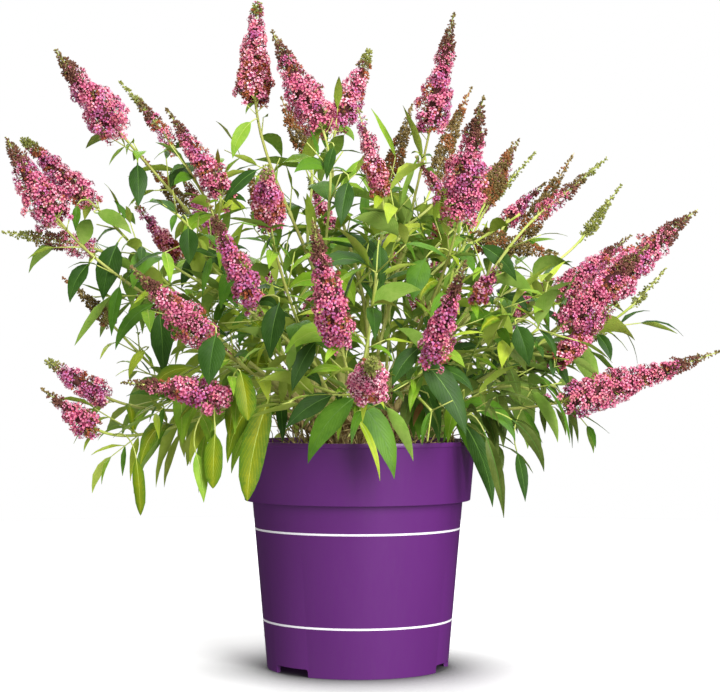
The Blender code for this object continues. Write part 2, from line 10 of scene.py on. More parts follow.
import bpy
import numpy as np
from mathutils import Matrix, Vector, noise
from mathutils.bvhtree import BVHTree
from mathutils.geometry import interpolate_bezier
from mathutils.kdtree import KDTree


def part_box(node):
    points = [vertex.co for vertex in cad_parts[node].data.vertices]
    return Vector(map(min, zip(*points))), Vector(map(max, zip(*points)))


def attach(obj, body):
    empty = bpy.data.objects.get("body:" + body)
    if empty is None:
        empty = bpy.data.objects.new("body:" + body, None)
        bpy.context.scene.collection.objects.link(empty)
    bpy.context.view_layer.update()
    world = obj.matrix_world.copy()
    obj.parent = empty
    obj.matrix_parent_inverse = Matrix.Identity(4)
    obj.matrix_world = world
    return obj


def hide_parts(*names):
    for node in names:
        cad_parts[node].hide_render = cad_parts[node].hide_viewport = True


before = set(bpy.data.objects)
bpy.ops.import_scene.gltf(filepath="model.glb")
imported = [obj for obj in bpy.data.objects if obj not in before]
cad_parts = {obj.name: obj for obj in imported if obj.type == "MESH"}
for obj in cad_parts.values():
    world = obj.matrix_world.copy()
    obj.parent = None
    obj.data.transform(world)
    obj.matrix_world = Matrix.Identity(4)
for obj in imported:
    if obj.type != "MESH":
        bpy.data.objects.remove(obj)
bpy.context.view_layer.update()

# The pot: one thin-walled piece of moulded plastic, tapered so that pots nest. A deep band stiffens its
# rim and ends in a small lip. The foot is a ring with three notches, round a floor with drain holes.

POT_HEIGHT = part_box("pot")[1].z
RIM_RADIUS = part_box("pot")[1].x
LIP_HEIGHT = 0.0045
LIP_PROUD = 0.0012
BAND_FOOT = POT_HEIGHT - 0.058
BAND_FOOT_RADIUS = 0.110
BODY_TOP_RADIUS = 0.1025
BODY_FOOT_RADIUS = 0.088
WALL = 0.0016
FOOT_RING_WIDTH = 0.004
FLOOR_RISE = 0.009
FLOOR_TOP = 0.011
NOTCH_WIDTH = 0.044
NOTCH_HEIGHT = 0.0075
NOTCH_BEARINGS = (224, 342, 102)
DRAIN_HOLES = 6
DRAIN_HOLE_RADIUS = 0.0055
DRAIN_CIRCLE_RADIUS = 0.058
POT_STEPS = 144
MOULDED_EDGE = 0.0006
SHARP_EDGE = 20
SMOOTHED_ANGLE = 32

STRIPE_HEIGHTS = (0.0470, 0.1350)
STRIPE_WIDTH = 0.0019
INK_THICKNESS = 0.00015


class Shade:
    """A value that varies over a surface. Sums with it add the nodes that work them out."""

    def __init__(self, finish, socket):
        self.finish = finish
        self.socket = socket

    def math(self, operation, other=0.0):
        return self.finish.node("ShaderNodeMath", {"operation": operation}, {0: self, 1: other})

    def __add__(self, other):
        return self.math("ADD", other)

    __radd__ = __add__

    def __sub__(self, other):
        return self.math("SUBTRACT", other)

    def __mul__(self, other):
        return self.math("MULTIPLY", other)


class Nodes:
    """The nodes of a material or of the world: its shader, and what feeds it."""

    def __init__(self, owner, shader):
        owner.use_nodes = True
        self.tree = owner.node_tree
        self.shader = self.tree.nodes[shader]

    def node(self, kind, settings, sockets, output=0):
        """Adds a node, sets it, plugs its sockets and gives back one of its outputs."""
        made = self.tree.nodes.new(kind)
        for name, value in settings.items():
            setattr(made, name, value)
        for key, value in sockets.items():
            self.plug(made.inputs[key], value)
        return Shade(self, made.outputs[output])

    def plug(self, socket, value):
        if isinstance(value, Shade):
            self.tree.links.new(value.socket, socket)
        else:
            socket.default_value = value

    def feed(self, name, value):
        self.plug(self.shader.inputs[name], value)


class Finish(Nodes):
    """A material, with a pattern of noise in its colour, its roughness and its relief."""

    def __init__(self, name, gloss=0.3):
        self.material = bpy.data.materials.new(name)
        super().__init__(self.material, "Principled BSDF")
        self.feed("Specular IOR Level", gloss)
        self.place = self.node("ShaderNodeTexCoord", {}, {}, "Object")

    def grain(self, scale, detail=3.0, stretch=(1, 1, 1)):
        """Noise from 0 to 1 on the piece's own coordinates, its lumps drawn out by the stretch."""
        place = self.node("ShaderNodeMapping", {}, {"Vector": self.place, "Scale": stretch})
        plugs = {"Vector": place, "Scale": scale, "Detail": detail}
        return self.node("ShaderNodeTexNoise", {}, plugs, "Fac")

    def between(self, value, low, high):
        """Stretches the part of a value between low and high to run from 0 to 1."""
        settings = {"interpolation_type": "SMOOTHSTEP"}
        plugs = {"Value": value, "From Min": low, "From Max": high}
        return self.node("ShaderNodeMapRange", settings, plugs)

    def mix(self, share, first, second):
        """One colour turning into another as the share goes from 0 to 1."""
        settings = {"data_type": "RGBA"}
        return self.node("ShaderNodeMix", settings, {0: share, 6: first, 7: second}, 2)

    def two_tone(self, share, shades, low=0.36):
        """Two screen colours that turn into each other about where the share is a half."""
        return self.mix(self.between(share, low, 1 - low), *(paint(*shade) for shade in shades))

    def dress(self, colour, roughness, height, depth, strength):
        """Feeds the shader its colour, its roughness and a relief, and gives the finish back."""
        self.feed("Base Color", colour)
        self.feed("Roughness", roughness)
        sockets = {"Height": height, "Distance": depth, "Strength": strength}
        self.feed("Normal", self.node("ShaderNodeBump", {}, sockets))
        return self


def paint(*parts):
    """A screen colour, each part from 0 to 255, as the linear colour that shaders take."""
    linear = [((part / 255 + 0.055) / 1.055) ** 2.4 if part > 10 else part / 3295 for part in parts]
    return (*linear, 1)


def body_radius(height):
    return BODY_FOOT_RADIUS + (BODY_TOP_RADIUS - BODY_FOOT_RADIUS) * height / BAND_FOOT


def switch(mode, kind="EDGE", action="DESELECT"):
    """Enters edit mode with all or nothing selected, or goes back to object mode."""
    bpy.ops.object.mode_set(mode=mode)
    if mode == "EDIT":
        bpy.ops.mesh.select_mode(type=kind)
        bpy.ops.mesh.select_all(action=action)


def turned(name, profile, steps, fill="NGON"):
    """Draws a round piece up ring by ring, through its profile of radius and height."""
    bpy.ops.object.select_all(action="DESELECT")
    radius, height = profile[0]
    bpy.ops.mesh.primitive_circle_add(
        vertices=steps, radius=radius, fill_type=fill, location=(0, 0, height)
    )
    piece = bpy.context.object
    piece.name = name
    bpy.ops.object.mode_set(mode="EDIT")
    for wide, high in profile[1:]:
        bpy.ops.mesh.extrude_region_move(TRANSFORM_OT_translate={"value": (0, 0, high - height)})
        bpy.ops.transform.resize(value=(wide / radius, wide / radius, 1), center_override=(0, 0, high))
        radius, height = wide, high
    if fill == "NOTHING":
        switch("EDIT")
        bpy.ops.mesh.select_non_manifold()
        bpy.ops.mesh.bridge_edge_loops()
    bpy.ops.mesh.select_all(action="SELECT")
    bpy.ops.mesh.normals_make_consistent(inside=False)
    bpy.ops.object.mode_set(mode="OBJECT")
    bpy.ops.object.transform_apply(location=True, rotation=True, scale=True)
    return piece


def soften_edges(width):
    """Rounds every sharp edge of the piece in hand."""
    switch("EDIT")
    bpy.ops.mesh.edges_select_sharp(sharpness=math.radians(SHARP_EDGE))
    bpy.ops.mesh.bevel(offset=width, segments=2, affect="EDGES")
    switch("OBJECT")


def cut_away(piece, cutter):
    """Takes the cutter's shape out of the piece, and removes the cutter."""
    cut = piece.modifiers.new("cut", "BOOLEAN")
    cut.operation = "DIFFERENCE"
    cut.object = cutter
    bpy.ops.object.select_all(action="DESELECT")
    bpy.context.view_layer.objects.active = piece
    bpy.ops.object.modifier_apply(modifier=cut.name)
    bpy.data.objects.remove(cutter, do_unlink=True)


def shade(piece, angle):
    bpy.ops.object.select_all(action="DESELECT")
    piece.select_set(True)
    bpy.context.view_layer.objects.active = piece
    bpy.ops.object.shade_smooth_by_angle(angle=math.radians(angle))


def settle(piece, finish, slot, *nodes):
    """Gives a finished piece its material, and its place in the part."""
    piece.data.materials.clear()
    piece.data.materials.append(finish.material)
    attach(piece, "root")
    if nodes:
        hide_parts(*nodes)


foot_inside = BODY_FOOT_RADIUS - FOOT_RING_WIDTH
band_inside = BAND_FOOT + WALL
pot = turned(
    "pot_shell",
    (
        (foot_inside - 0.003, FLOOR_RISE),
        (foot_inside, FLOOR_RISE - 0.001),
        (foot_inside, 0),
        (BODY_FOOT_RADIUS, 0),
        (BODY_TOP_RADIUS, BAND_FOOT),
        (BAND_FOOT_RADIUS, BAND_FOOT),
        (RIM_RADIUS - LIP_PROUD, POT_HEIGHT - LIP_HEIGHT),
        (RIM_RADIUS, POT_HEIGHT - LIP_HEIGHT),
        (RIM_RADIUS, POT_HEIGHT),
        (RIM_RADIUS - LIP_PROUD - WALL, POT_HEIGHT),
        (BAND_FOOT_RADIUS - WALL, band_inside),
        (BODY_TOP_RADIUS - WALL, band_inside),
        (body_radius(FLOOR_TOP) - WALL, FLOOR_TOP),
    ),
    POT_STEPS,
)
soften_edges(MOULDED_EDGE)
for bearing in NOTCH_BEARINGS:
    turn = math.radians(bearing)
    bpy.ops.mesh.primitive_cube_add(
        size=1,
        location=(BODY_FOOT_RADIUS * math.cos(turn), BODY_FOOT_RADIUS * math.sin(turn), 0),
        rotation=(0, 0, turn),
        scale=(4 * FOOT_RING_WIDTH, NOTCH_WIDTH, 2 * NOTCH_HEIGHT),
    )
    notch = bpy.context.object
    bpy.ops.object.transform_apply(location=False, rotation=False, scale=True)
    soften_edges(3 * MOULDED_EDGE)
    cut_away(pot, notch)
for hole in range(DRAIN_HOLES):
    turn = math.tau * hole / DRAIN_HOLES
    bpy.ops.mesh.primitive_cylinder_add(
        vertices=20,
        radius=DRAIN_HOLE_RADIUS,
        depth=4 * (FLOOR_TOP - FLOOR_RISE),
        location=(DRAIN_CIRCLE_RADIUS * math.cos(turn), DRAIN_CIRCLE_RADIUS * math.sin(turn), FLOOR_TOP),
    )
    cut_away(pot, bpy.context.object)
shade(pot, SMOOTHED_ANGLE)

plastic = Finish("purple_plastic", 0.95)
flow = plastic.grain(14, 2, (1, 1, 0.25))
scuffs = plastic.grain(260, 4, (1, 1, 0.18))
purple = plastic.mix(flow, paint(91, 27, 109), paint(103, 33, 122))
speckle = plastic.grain(1500, 2)
plastic.dress(purple, 0.30 + flow * 0.08 + scuffs * 0.12, speckle + scuffs * 0.6, 0.00004, 0.6)
settle(pot, plastic, "pot", "pot")

ink = Finish("white_ink")
white = ink.mix(ink.grain(400), paint(232, 228, 236), paint(250, 248, 252))
ink.dress(white, 0.38 + ink.grain(220) * 0.16, ink.grain(900, 2), 0.00003, 0.4)
for number, height in enumerate(STRIPE_HEIGHTS):
    profile = []
    for side, level in ((-1, -0.5), (1, -0.5), (1, 0.5), (-1, 0.5)):
        edge = height + level * STRIPE_WIDTH
        profile.append((body_radius(edge) + side * INK_THICKNESS, edge))
    stripe = turned(f"pot_stripe_{number + 1}", profile, POT_STEPS, fill="NOTHING")
    shade(stripe, SMOOTHED_ANGLE)
    settle(stripe, ink, "pot")

# The potting mix: composted bark and peat that fills the pot to just under its rim. Its top is a loose
# layer of bark chips and crumbs, and a few dry twigs and stalks have dropped onto it from the plant.

MIX_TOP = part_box("root_crown")[0].z
MIX_RADIUS = 0.1105
CHIPS = {"dark": 700, "brown": 520, "tan": 170}
CHIP_COLOURS = {"dark": (44, 31, 23), "brown": (88, 60, 40), "tan": (150, 112, 74)}
CHIP_SIZES = ((0.003, 0.011), (0.002, 0.006), (0.001, 0.003))
BOX_CORNERS = [(x, y, z) for z in (-0.5, 0.5) for y in (-0.5, 0.5) for x in (-0.5, 0.5)]
BOX_FACES = [(0, 2, 3, 1), (4, 5, 7, 6), (0, 1, 5, 4), (2, 6, 7, 3), (0, 4, 6, 2), (1, 3, 7, 5)]
CHIP_TILT = 0.35
CHIP_LAYER = 0.004
CHIP_WEAR = (0.6, 1.1)
TWIGS = 300
TWIG_REACH = (0.030, 0.104)
TWIG_RISE = (0.1, 1.35)
DRY_TWIG_LENGTH = (0.025, 0.110)
DRY_TWIG_RADIUS = (0.0005, 0.0011)
TWIG_COLOUR = (208, 186, 122)


class Heap:
    """Many small things of one kind, gathered corner by corner into one mesh."""

    def __init__(self):
        self.points = []
        self.faces = []
        self.marks = []

    def add(self, points, faces, marks=None):
        first = len(self.points)
        self.points += [tuple(point) for point in points]
        self.faces += [tuple(first + corner for corner in face) for face in faces]
        self.marks += marks or [(0.5, 0.5)] * len(points)

    def tree(self):
        """A search tree of all that was gathered so far, to find what meets it."""
        return BVHTree.FromPolygons(self.points, self.faces)

    def piece(self, name, finish, slot, nodes=(), smooth=True):
        """One mesh of all that was gathered. The marks become its map, for patterns on each thing."""
        mesh = bpy.data.meshes.new(name)
        mesh.from_pydata(self.points, [], self.faces)
        corners = np.zeros(len(mesh.loops), dtype=np.int32)
        mesh.loops.foreach_get("vertex_index", corners)
        layer = mesh.uv_layers.new(name="marks")
        layer.data.foreach_set("uv", np.array(self.marks, dtype=np.float32)[corners].ravel())
        place_mesh(mesh, finish, slot, nodes, smooth)


def place_mesh(mesh, finish, slot, nodes, smooth):
    if smooth:
        mesh.shade_smooth()
    piece = bpy.data.objects.new(mesh.name, mesh)
    bpy.context.scene.collection.objects.link(piece)
    settle(piece, finish, slot, *nodes)


def circling(first, second, angle):
    """The direction at an angle round from the first direction towards the second."""
    return first * math.cos(angle) + second * math.sin(angle)


def earth(name, colour, darker):
    """A dull crumbly finish: a colour, a darker shade of it and a rough relief."""
    finish = Finish(name)
    lumps = finish.grain(160, 5)
    colours = finish.two_tone(lumps, (colour, [part * darker for part in colour]), 0.35)
    return finish.dress(colours, 0.82 + lumps * 0.15, finish.grain(700, 6), 0.0006, 0.8)


def tube(points, radii, corners):
    """Corner points and faces of a round twig along a line of points, its ends closed."""
    verts = []
    side = Vector((1, 0, 0))
    last = len(points) - 1
    for i, (point, radius) in enumerate(zip(points, radii)):
        along = (points[min(i + 1, last)] - points[max(i - 1, 0)]).normalized()
        side = side - along * side.dot(along)
        side = (side if side.length > 1e-3 else along.orthogonal()).normalized()
        for corner in range(corners):
            verts.append(point + circling(side, along.cross(side), math.tau * corner / corners) * radius)
    return verts, tube_faces(len(points), corners)


def tube_faces(rings, corners):
    faces = [tuple(reversed(range(corners)))]
    for ring in range(rings - 1):
        here = ring * corners
        for corner in range(corners):
            after = (corner + 1) % corners
            faces.append((here + corner, here + after, here + corners + after, here + corners + corner))
    faces.append(tuple(range((rings - 1) * corners, rings * corners)))
    return faces


mix_finish = earth("potting_mix", (52, 37, 27), 0.5)
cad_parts["potting_mix"].data.materials.clear()
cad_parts["potting_mix"].data.materials.append(mix_finish.material)

draw = random.Random(31)
east, north = Vector((1, 0, 0)), Vector((0, 1, 0))
for kind, count in CHIPS.items():
    chips = Heap()
    for _ in range(count):
        size = [draw.uniform(*span) for span in CHIP_SIZES]
        spin = Matrix.Rotation(draw.uniform(0, math.tau), 3, "Z")
        turn = spin @ Matrix.Rotation(draw.gauss(0, CHIP_TILT), 3, "X")
        reach = MIX_RADIUS * math.sqrt(draw.uniform(0.04, 0.94))
        place = circling(east, north, draw.uniform(0, math.tau)) * reach
        place.z = MIX_TOP + draw.uniform(0, CHIP_LAYER)
        corners = []
        for corner in BOX_CORNERS:
            worn = [part * length * draw.uniform(*CHIP_WEAR) for part, length in zip(corner, size)]
            corners.append(place + turn @ Vector(worn))
        chips.add(corners, BOX_FACES)
    finish = earth(f"chips_{kind}", CHIP_COLOURS[kind], 0.6)
    chips.piece(f"bark_chips_{kind}", finish, "potting_mix", smooth=False)

straw = earth("dry_twigs", TWIG_COLOUR, 0.62)
twigs = Heap()
for _ in range(TWIGS):
    reach = draw.uniform(*TWIG_REACH)
    bearing = draw.uniform(0, math.tau)
    point = circling(east, north, bearing) * reach
    point.z = MIX_TOP
    heading = bearing + draw.gauss(0, 1.1)
    rise = draw.uniform(*TWIG_RISE)
    way = circling(circling(east, north, heading), Vector((0, 0, 1)), rise)
    length = draw.uniform(*DRY_TWIG_LENGTH)
    line = [point]
    for _ in range(5):
        way = (way + Vector([draw.gauss(0, 0.30) for _ in range(3)])).normalized()
        line.append(line[-1] + way * length / 5)
    thick = draw.uniform(*DRY_TWIG_RADIUS)
    if math.hypot(line[-1].x, line[-1].y) < MIX_RADIUS:
        twigs.add(*tube(line, [thick * (1 - 0.1 * i) for i in range(6)], 5))
twigs.piece("dry_twigs", straw, "potting_mix")

# The woody crown and its canes: a low knuckle that is cut back each year, and the brown canes that rise
# and arch out of it. Their bark is thin and stringy, with long cracks and a ring at each old leaf joint.

UP = Vector((0, 0, 1))
CLEARANCE = 0.0003
KNUCKLE_RADIUS = 0.026
KNUCKLE_RISE = 0.006
FLARE_RADIUS = 0.037
BURL_RISE = 0.0014
RIDGE_RISE = 0.0016
TIERS = ((4, 20), (8, 46), (9, 71))
CANE_RADII = (0.0048, 0.0032)
CANE_SIDES = 6
CANE_SECTION = 0.025
CANE_REACH = 0.32
CANE_ROOT = 0.8
CROWN_STEPS = 72
CROWN_SMOOTHED_ANGLE = 50
BURL_SPREAD = 0.20
LOWEST_FORK = 0.246
BARK_SIDES = 14
BARK_SECTION = 0.004
BARK_RING_START = 0.012
BARK_RING_STEP = 0.034
BARK_RING_PLACE = 0.010
RING_WIDTH = 0.0022
BARK_CRACKS = 0.10
BARK_LUMPS = 0.06
BARK_RINGS = 0.16
BARK_LIGHT = (190, 162, 112)
BARK_DARK = (104, 80, 50)
BARK_GREEN = (148, 150, 80)
GREENING = (0.246, 0.300)

# Flower spikes, one row each, in lists that share a cane. Each row gives the tip of the spike, the
# heading round the plant and the rise above level that it points to, its length, its girth and its age.
FRONT_SPIKES = (
    (
        (-0.285, -0.090, 0.585, 235, 35, 0.105, 0.045, "bloom"),
        (-0.240, 0.060, 0.585, 140, 45, 0.105, 0.018, "young"),
        (-0.190, 0.020, 0.550, 140, 50, 0.120, 0.031, "bloom"),
    ),
    (
        (-0.348, 0.000, 0.515, 150, 50, 0.105, 0.044, "bloom"),
        (-0.340, 0.060, 0.520, 145, 35, 0.110, 0.032, "fresh"),
        (-0.345, -0.020, 0.425, 200, 10, 0.090, 0.026, "young"),
    ),
    (
        (-0.220, 0.080, 0.510, 155, 50, 0.080, 0.020, "brown"),
        (-0.230, 0.110, 0.460, 135, 40, 0.090, 0.022, "fading"),
    ),
    (
        (-0.200, -0.200, 0.375, 230, 30, 0.110, 0.036, "bloom"),
        (-0.205, -0.200, 0.280, 215, 10, 0.105, 0.032, "bloom"),
    ),
    (
        (-0.295, -0.060, 0.295, 200, 30, 0.065, 0.029, "fresh"),
        (-0.290, -0.110, 0.270, 215, 35, 0.065, 0.028, "bloom"),
        (-0.285, -0.020, 0.380, 195, 45, 0.065, 0.018, "brown"),
    ),
    (
        (-0.105, 0.050, 0.660, 95, 65, 0.115, 0.038, "fading"),
        (-0.085, -0.020, 0.615, 140, 55, 0.115, 0.042, "bloom"),
        (-0.080, 0.060, 0.565, 160, 60, 0.060, 0.025, "brown"),
    ),
    (
        (0.015, 0.090, 0.615, 50, 55, 0.095, 0.032, "fresh"),
        (0.000, -0.080, 0.535, 230, 65, 0.085, 0.024, "fading"),
        (0.055, -0.020, 0.495, 230, 35, 0.050, 0.016, "bloom"),
    ),
    (
        (0.095, 0.000, 0.640, 320, 75, 0.115, 0.038, "bloom"),
        (0.060, 0.130, 0.570, 55, 60, 0.100, 0.024, "brown"),
        (0.115, 0.100, 0.585, 40, 65, 0.110, 0.025, "brown"),
    ),
    (
        (0.110, -0.150, 0.535, 285, 60, 0.120, 0.046, "bloom"),
        (0.160, 0.060, 0.520, 30, 60, 0.070, 0.025, "brown"),
        (0.185, 0.110, 0.515, 40, 40, 0.080, 0.010, "green"),
    ),
    (
        (0.215, 0.020, 0.505, 15, 58, 0.100, 0.022, "brown"),
        (0.245, -0.010, 0.495, 30, 35, 0.100, 0.018, "young"),
        (0.270, 0.080, 0.480, 30, 50, 0.070, 0.014, "green"),
        (0.190, 0.060, 0.480, 35, 40, 0.065, 0.020, "bloom"),
    ),
    (
        (0.327, -0.020, 0.446, 10, 41, 0.130, 0.046, "bloom"),
        (0.270, -0.090, 0.406, 345, 44, 0.104, 0.040, "bloom"),
        (0.310, 0.040, 0.390, 15, 45, 0.050, 0.010, "green"),
        (0.249, -0.040, 0.355, 25, 42, 0.085, 0.024, "fading"),
    ),
    ((0.353, 0.000, 0.303, 20, 15, 0.170, 0.038, "bloom"),),
    (
        (-0.080, -0.200, 0.465, 270, 30, 0.080, 0.032, "fading"),
        (-0.135, -0.190, 0.435, 235, 50, 0.110, 0.030, "bloom"),
    ),
    (
        (-0.040, -0.270, 0.415, 250, 55, 0.125, 0.036, "bloom"),
        (0.010, -0.330, 0.290, 270, 10, 0.110, 0.036, "fresh"),
    ),
    (
        (0.090, -0.230, 0.380, 290, 50, 0.105, 0.030, "bloom"),
        (0.130, -0.120, 0.385, 295, 35, 0.055, 0.018, "fading"),
        (0.195, -0.040, 0.400, 340, -10, 0.084, 0.028, "brown"),
    ),
)

# The back of the crown: masses at even bearings, each with spikes at three levels. A level gives the
# reach from the pot's axis, the height, the rise, the length and the girth of its spikes, and a turn
# sets each level a little to one side of its mass's bearing.
BACK_MASSES = 6
BACK_BEARINGS = (30, 140)
BACK_LEVELS = (
    (0.348, 0.420, 35, 0.120, 0.038),
    (0.220, 0.520, 55, 0.110, 0.034),
    (0.300, 0.310, 15, 0.105, 0.032),
)
BACK_TURNS = (0, 7, -8)
BACK_AGES = ("bloom", "bloom", "fresh", "bloom", "fading", "brown", "bloom", "young")
SPIKE_SINK = 0.010


def arch(start, leave, end, arrive, section):
    """Points of a smooth curve that leaves and arrives in given directions."""
    reach = (end - start).length
    pull = reach * 0.36
    count = max(3, round(reach / section)) + 1
    return interpolate_bezier(start, start + leave * pull, end - arrive * pull, end, count)


def direction(heading, rise):
    heading = math.radians(heading)
    rise = math.radians(rise)
    level = math.cos(rise)
    return Vector((math.cos(heading) * level, math.sin(heading) * level, math.sin(rise)))


class Limb:
    """A tapering limb along a smooth curve that leaves and arrives in given directions."""

    def __init__(self, start, leave, end, arrive, radii, section):
        self.course = (start, leave, end, arrive, radii)
        points = arch(start, leave, end, arrive, section)
        last = len(points) - 1
        thick, thin = radii
        self.points = points
        self.radii = [thick + (thin - thick) * i / last for i in range(last + 1)]
        middles = [(b - a).normalized() for a, b in zip(points, points[2:])]
        self.tangents = [leave, *middles, arrive]
        self.sides = []
        side = UP.cross(leave)
        if side.length < 1e-6:
            side = Vector((1, 0, 0))
        for tangent in self.tangents:
            side = (side - tangent * side.dot(tangent)).normalized()
            self.sides.append(side)
        self.marks = [0]
        for a, b in zip(points, points[1:]):
            self.marks.append(self.marks[-1] + (b - a).length)
        self.length = self.marks[-1]

    def at(self, distance):
        """The point, direction and side at a distance along the limb."""
        i = 0
        while i < len(self.marks) - 2 and self.marks[i + 1] < distance:
            i += 1
        share = (distance - self.marks[i]) / (self.marks[i + 1] - self.marks[i])
        point = self.points[i].lerp(self.points[i + 1], share)
        tangent = (self.points[i + 1] - self.points[i]).normalized()
        side = self.sides[i]
        side = (side - tangent * side.dot(tangent)).normalized()
        return point, tangent, side

    def shape(self, corners, swell=None):
        """Corner points and faces of the closed tapering tube. A swell varies its radius."""
        verts = []
        rows = zip(self.points, self.radii, self.tangents, self.sides, self.marks)
        for point, radius, tangent, side, mark in rows:
            for corner in range(corners):
                turn = math.tau * corner / corners
                grown = swell(mark / self.length, turn) if swell else 1
                verts.append(point + circling(side, tangent.cross(side), turn) * radius * grown)
        return verts, tube_faces(len(self.points), corners)

    def finer(self, section, start=None):
        """The same limb with closer points, for a smooth tube."""
        first, leave, end, arrive, radii = self.course
        return Limb(start or first, leave, end, arrive, radii, section)


class Spike:
    """One flower spike: the tip, the direction, the length, the girth and the age of its flowers."""

    def __init__(self, tip, along, length, girth, age):
        self.along = along
        self.length = length
        self.girth = girth
        self.age = age
        self.foot = tip - along * length

    def stem_end(self):
        return self.foot + self.along * SPIKE_SINK


class Mass:
    """What grows from the tip of one cane: a leader, its side shoots, their spikes and leaves."""

    def __init__(self, number, spikes):
        self.number = number
        self.spikes = spikes
        self.middle = sum((spike.foot for spike in spikes), Vector()) / len(spikes)
        self.cane = None
        self.shoots = []
        self.leaves = []
        self.own_space = None


def front_spikes():
    return [
        [Spike(Vector(row[:3]), direction(*row[3:5]), *row[5:]) for row in rows]
        for rows in FRONT_SPIKES
    ]


def back_spikes():
    """Three spikes to each mass, one at each level, a little uneven."""
    draw = random.Random(11)
    first, last = BACK_BEARINGS
    masses = []
    for i in range(BACK_MASSES):
        bearing = first + (last - first) * i / (BACK_MASSES - 1)
        spikes = []
        for level, (turn, sizes) in enumerate(zip(BACK_TURNS, BACK_LEVELS)):
            reach, height, rise, length, girth = sizes
            heading = bearing + turn + draw.uniform(-3, 3)
            out = direction(heading, 0) * reach * draw.uniform(0.94, 1.0)
            tip = out + UP * (height + draw.uniform(-0.03, 0.02))
            along = direction(heading + draw.uniform(-15, 15), rise + draw.uniform(-8, 8))
            length *= draw.uniform(0.8, 1.1)
            age = BACK_AGES[(3 * i + level) % len(BACK_AGES)]
            spikes.append(Spike(tip, along, length, girth * draw.uniform(0.7, 1.05), age))
        masses.append(spikes)
    return masses


def bearing_of(mass):
    return math.degrees(math.atan2(mass.middle.y, mass.middle.x))


def cane_starts(masses, knuckle):
    """Deals the canes out to rings of places on the knuckle: the most upright on top, each ring even."""
    waiting = sorted(masses, key=lambda mass: (mass.middle - knuckle).angle(UP))
    starts = {}
    for count, lean in TIERS:
        ring = sorted(waiting[:count], key=bearing_of)
        waiting = waiting[count:]
        even = 360 / len(ring)
        turn = sum(bearing_of(mass) - place * even for place, mass in enumerate(ring)) / len(ring)
        for place, mass in enumerate(ring):
            starts[mass] = direction(turn + place * even, 90 - lean)
    return starts


def grow_cane(mass, leave, knuckle):
    """A cane curves out of the knuckle and up to where its mass begins."""
    fork = knuckle.lerp(mass.middle, CANE_REACH)
    fork.z = max(fork.z, LOWEST_FORK)
    start = knuckle + leave * (KNUCKLE_RADIUS + CLEARANCE)
    arrive = (mass.middle - fork).normalized()
    return Limb(start, leave, fork, arrive, CANE_RADII, CANE_SECTION)


def bark_swell(seed, length):
    """How the bark stands in and out round a cane: long cracks, and a ring at each old leaf joint."""

    def swell(share, turn):
        along = share * length
        cracks = noise.noise(Vector((3.2 * math.cos(turn), 3.2 * math.sin(turn), along * 30 + seed)))
        lumps = noise.noise(Vector((math.cos(turn), math.sin(turn), along * 90 + seed)))
        past_ring = (along - BARK_RING_START) % BARK_RING_STEP - BARK_RING_PLACE
        ring = math.exp(-(past_ring / RING_WIDTH) ** 2)
        return 1 + BARK_CRACKS * cracks + BARK_LUMPS * lumps + BARK_RINGS * ring

    return swell


masses = [Mass(i + 1, spikes) for i, spikes in enumerate(front_spikes() + back_spikes())]
knuckle = Vector((0, 0, MIX_TOP + KNUCKLE_RISE))
for mass, leave in cane_starts(masses, knuckle).items():
    mass.cane = grow_cane(mass, leave, knuckle)

bark = Finish("bark")
strings = bark.grain(60, 5, (5, 5, 1))
flakes = bark.between(bark.grain(120, 4, (2, 2, 1)), 0.45, 0.60)
height = bark.node("ShaderNodeSeparateXYZ", {}, {"Vector": bark.place}, "Z")
brown = bark.mix(bark.between(strings + flakes * 0.2, 0.38, 0.72), paint(*BARK_DARK), paint(*BARK_LIGHT))
skin = bark.mix(bark.between(height + strings * 0.03, *GREENING), brown, paint(*BARK_GREEN))
bark.dress(skin, 0.75 + strings * 0.2, strings + flakes * 0.5, 0.0008, 0.9)

canes = Heap()
for mass in masses:
    sunk = knuckle + mass.cane.tangents[0] * KNUCKLE_RADIUS * CANE_ROOT
    finest = mass.cane.finer(BARK_SECTION, sunk)
    canes.add(*finest.shape(BARK_SIDES, bark_swell(mass.number * 7, finest.length)))
canes.piece("canes", bark, "bark", [f"cane_{mass.number:02d}" for mass in masses])

crown_profile = [(FLARE_RADIUS, MIX_TOP), (FLARE_RADIUS * 0.94, MIX_TOP + 0.0012)]
crown_profile.append((FLARE_RADIUS * 0.85, MIX_TOP + KNUCKLE_RISE * 0.4))
for step in range(12):
    angle = math.radians(7.2 * step)
    crown_profile.append((KNUCKLE_RADIUS * math.cos(angle), knuckle.z + KNUCKLE_RADIUS * math.sin(angle)))
crown = turned("root_crown_bark", crown_profile, CROWN_STEPS)
for vert in crown.data.vertices:
    out = (vert.co - knuckle).normalized()
    burl = sum(math.exp(-(out.angle(mass.cane.tangents[0]) / BURL_SPREAD) ** 2) for mass in masses)
    ridges = noise.noise(Vector((out.x * 9, out.y * 9, vert.co.z * 40)))
    if vert.co.z > MIX_TOP + CLEARANCE:
        vert.co += out * (BURL_RISE * min(burl, 1) + RIDGE_RISE * ridges)
shade(crown, CROWN_SMOOTHED_ANGLE)
settle(crown, bark, "bark", "root_crown")

# The stems: this year's growth, from the tip of each cane up into the flower spikes. They are slender,
# yellow green and slightly square, and a little thicker at each pair of leaves.

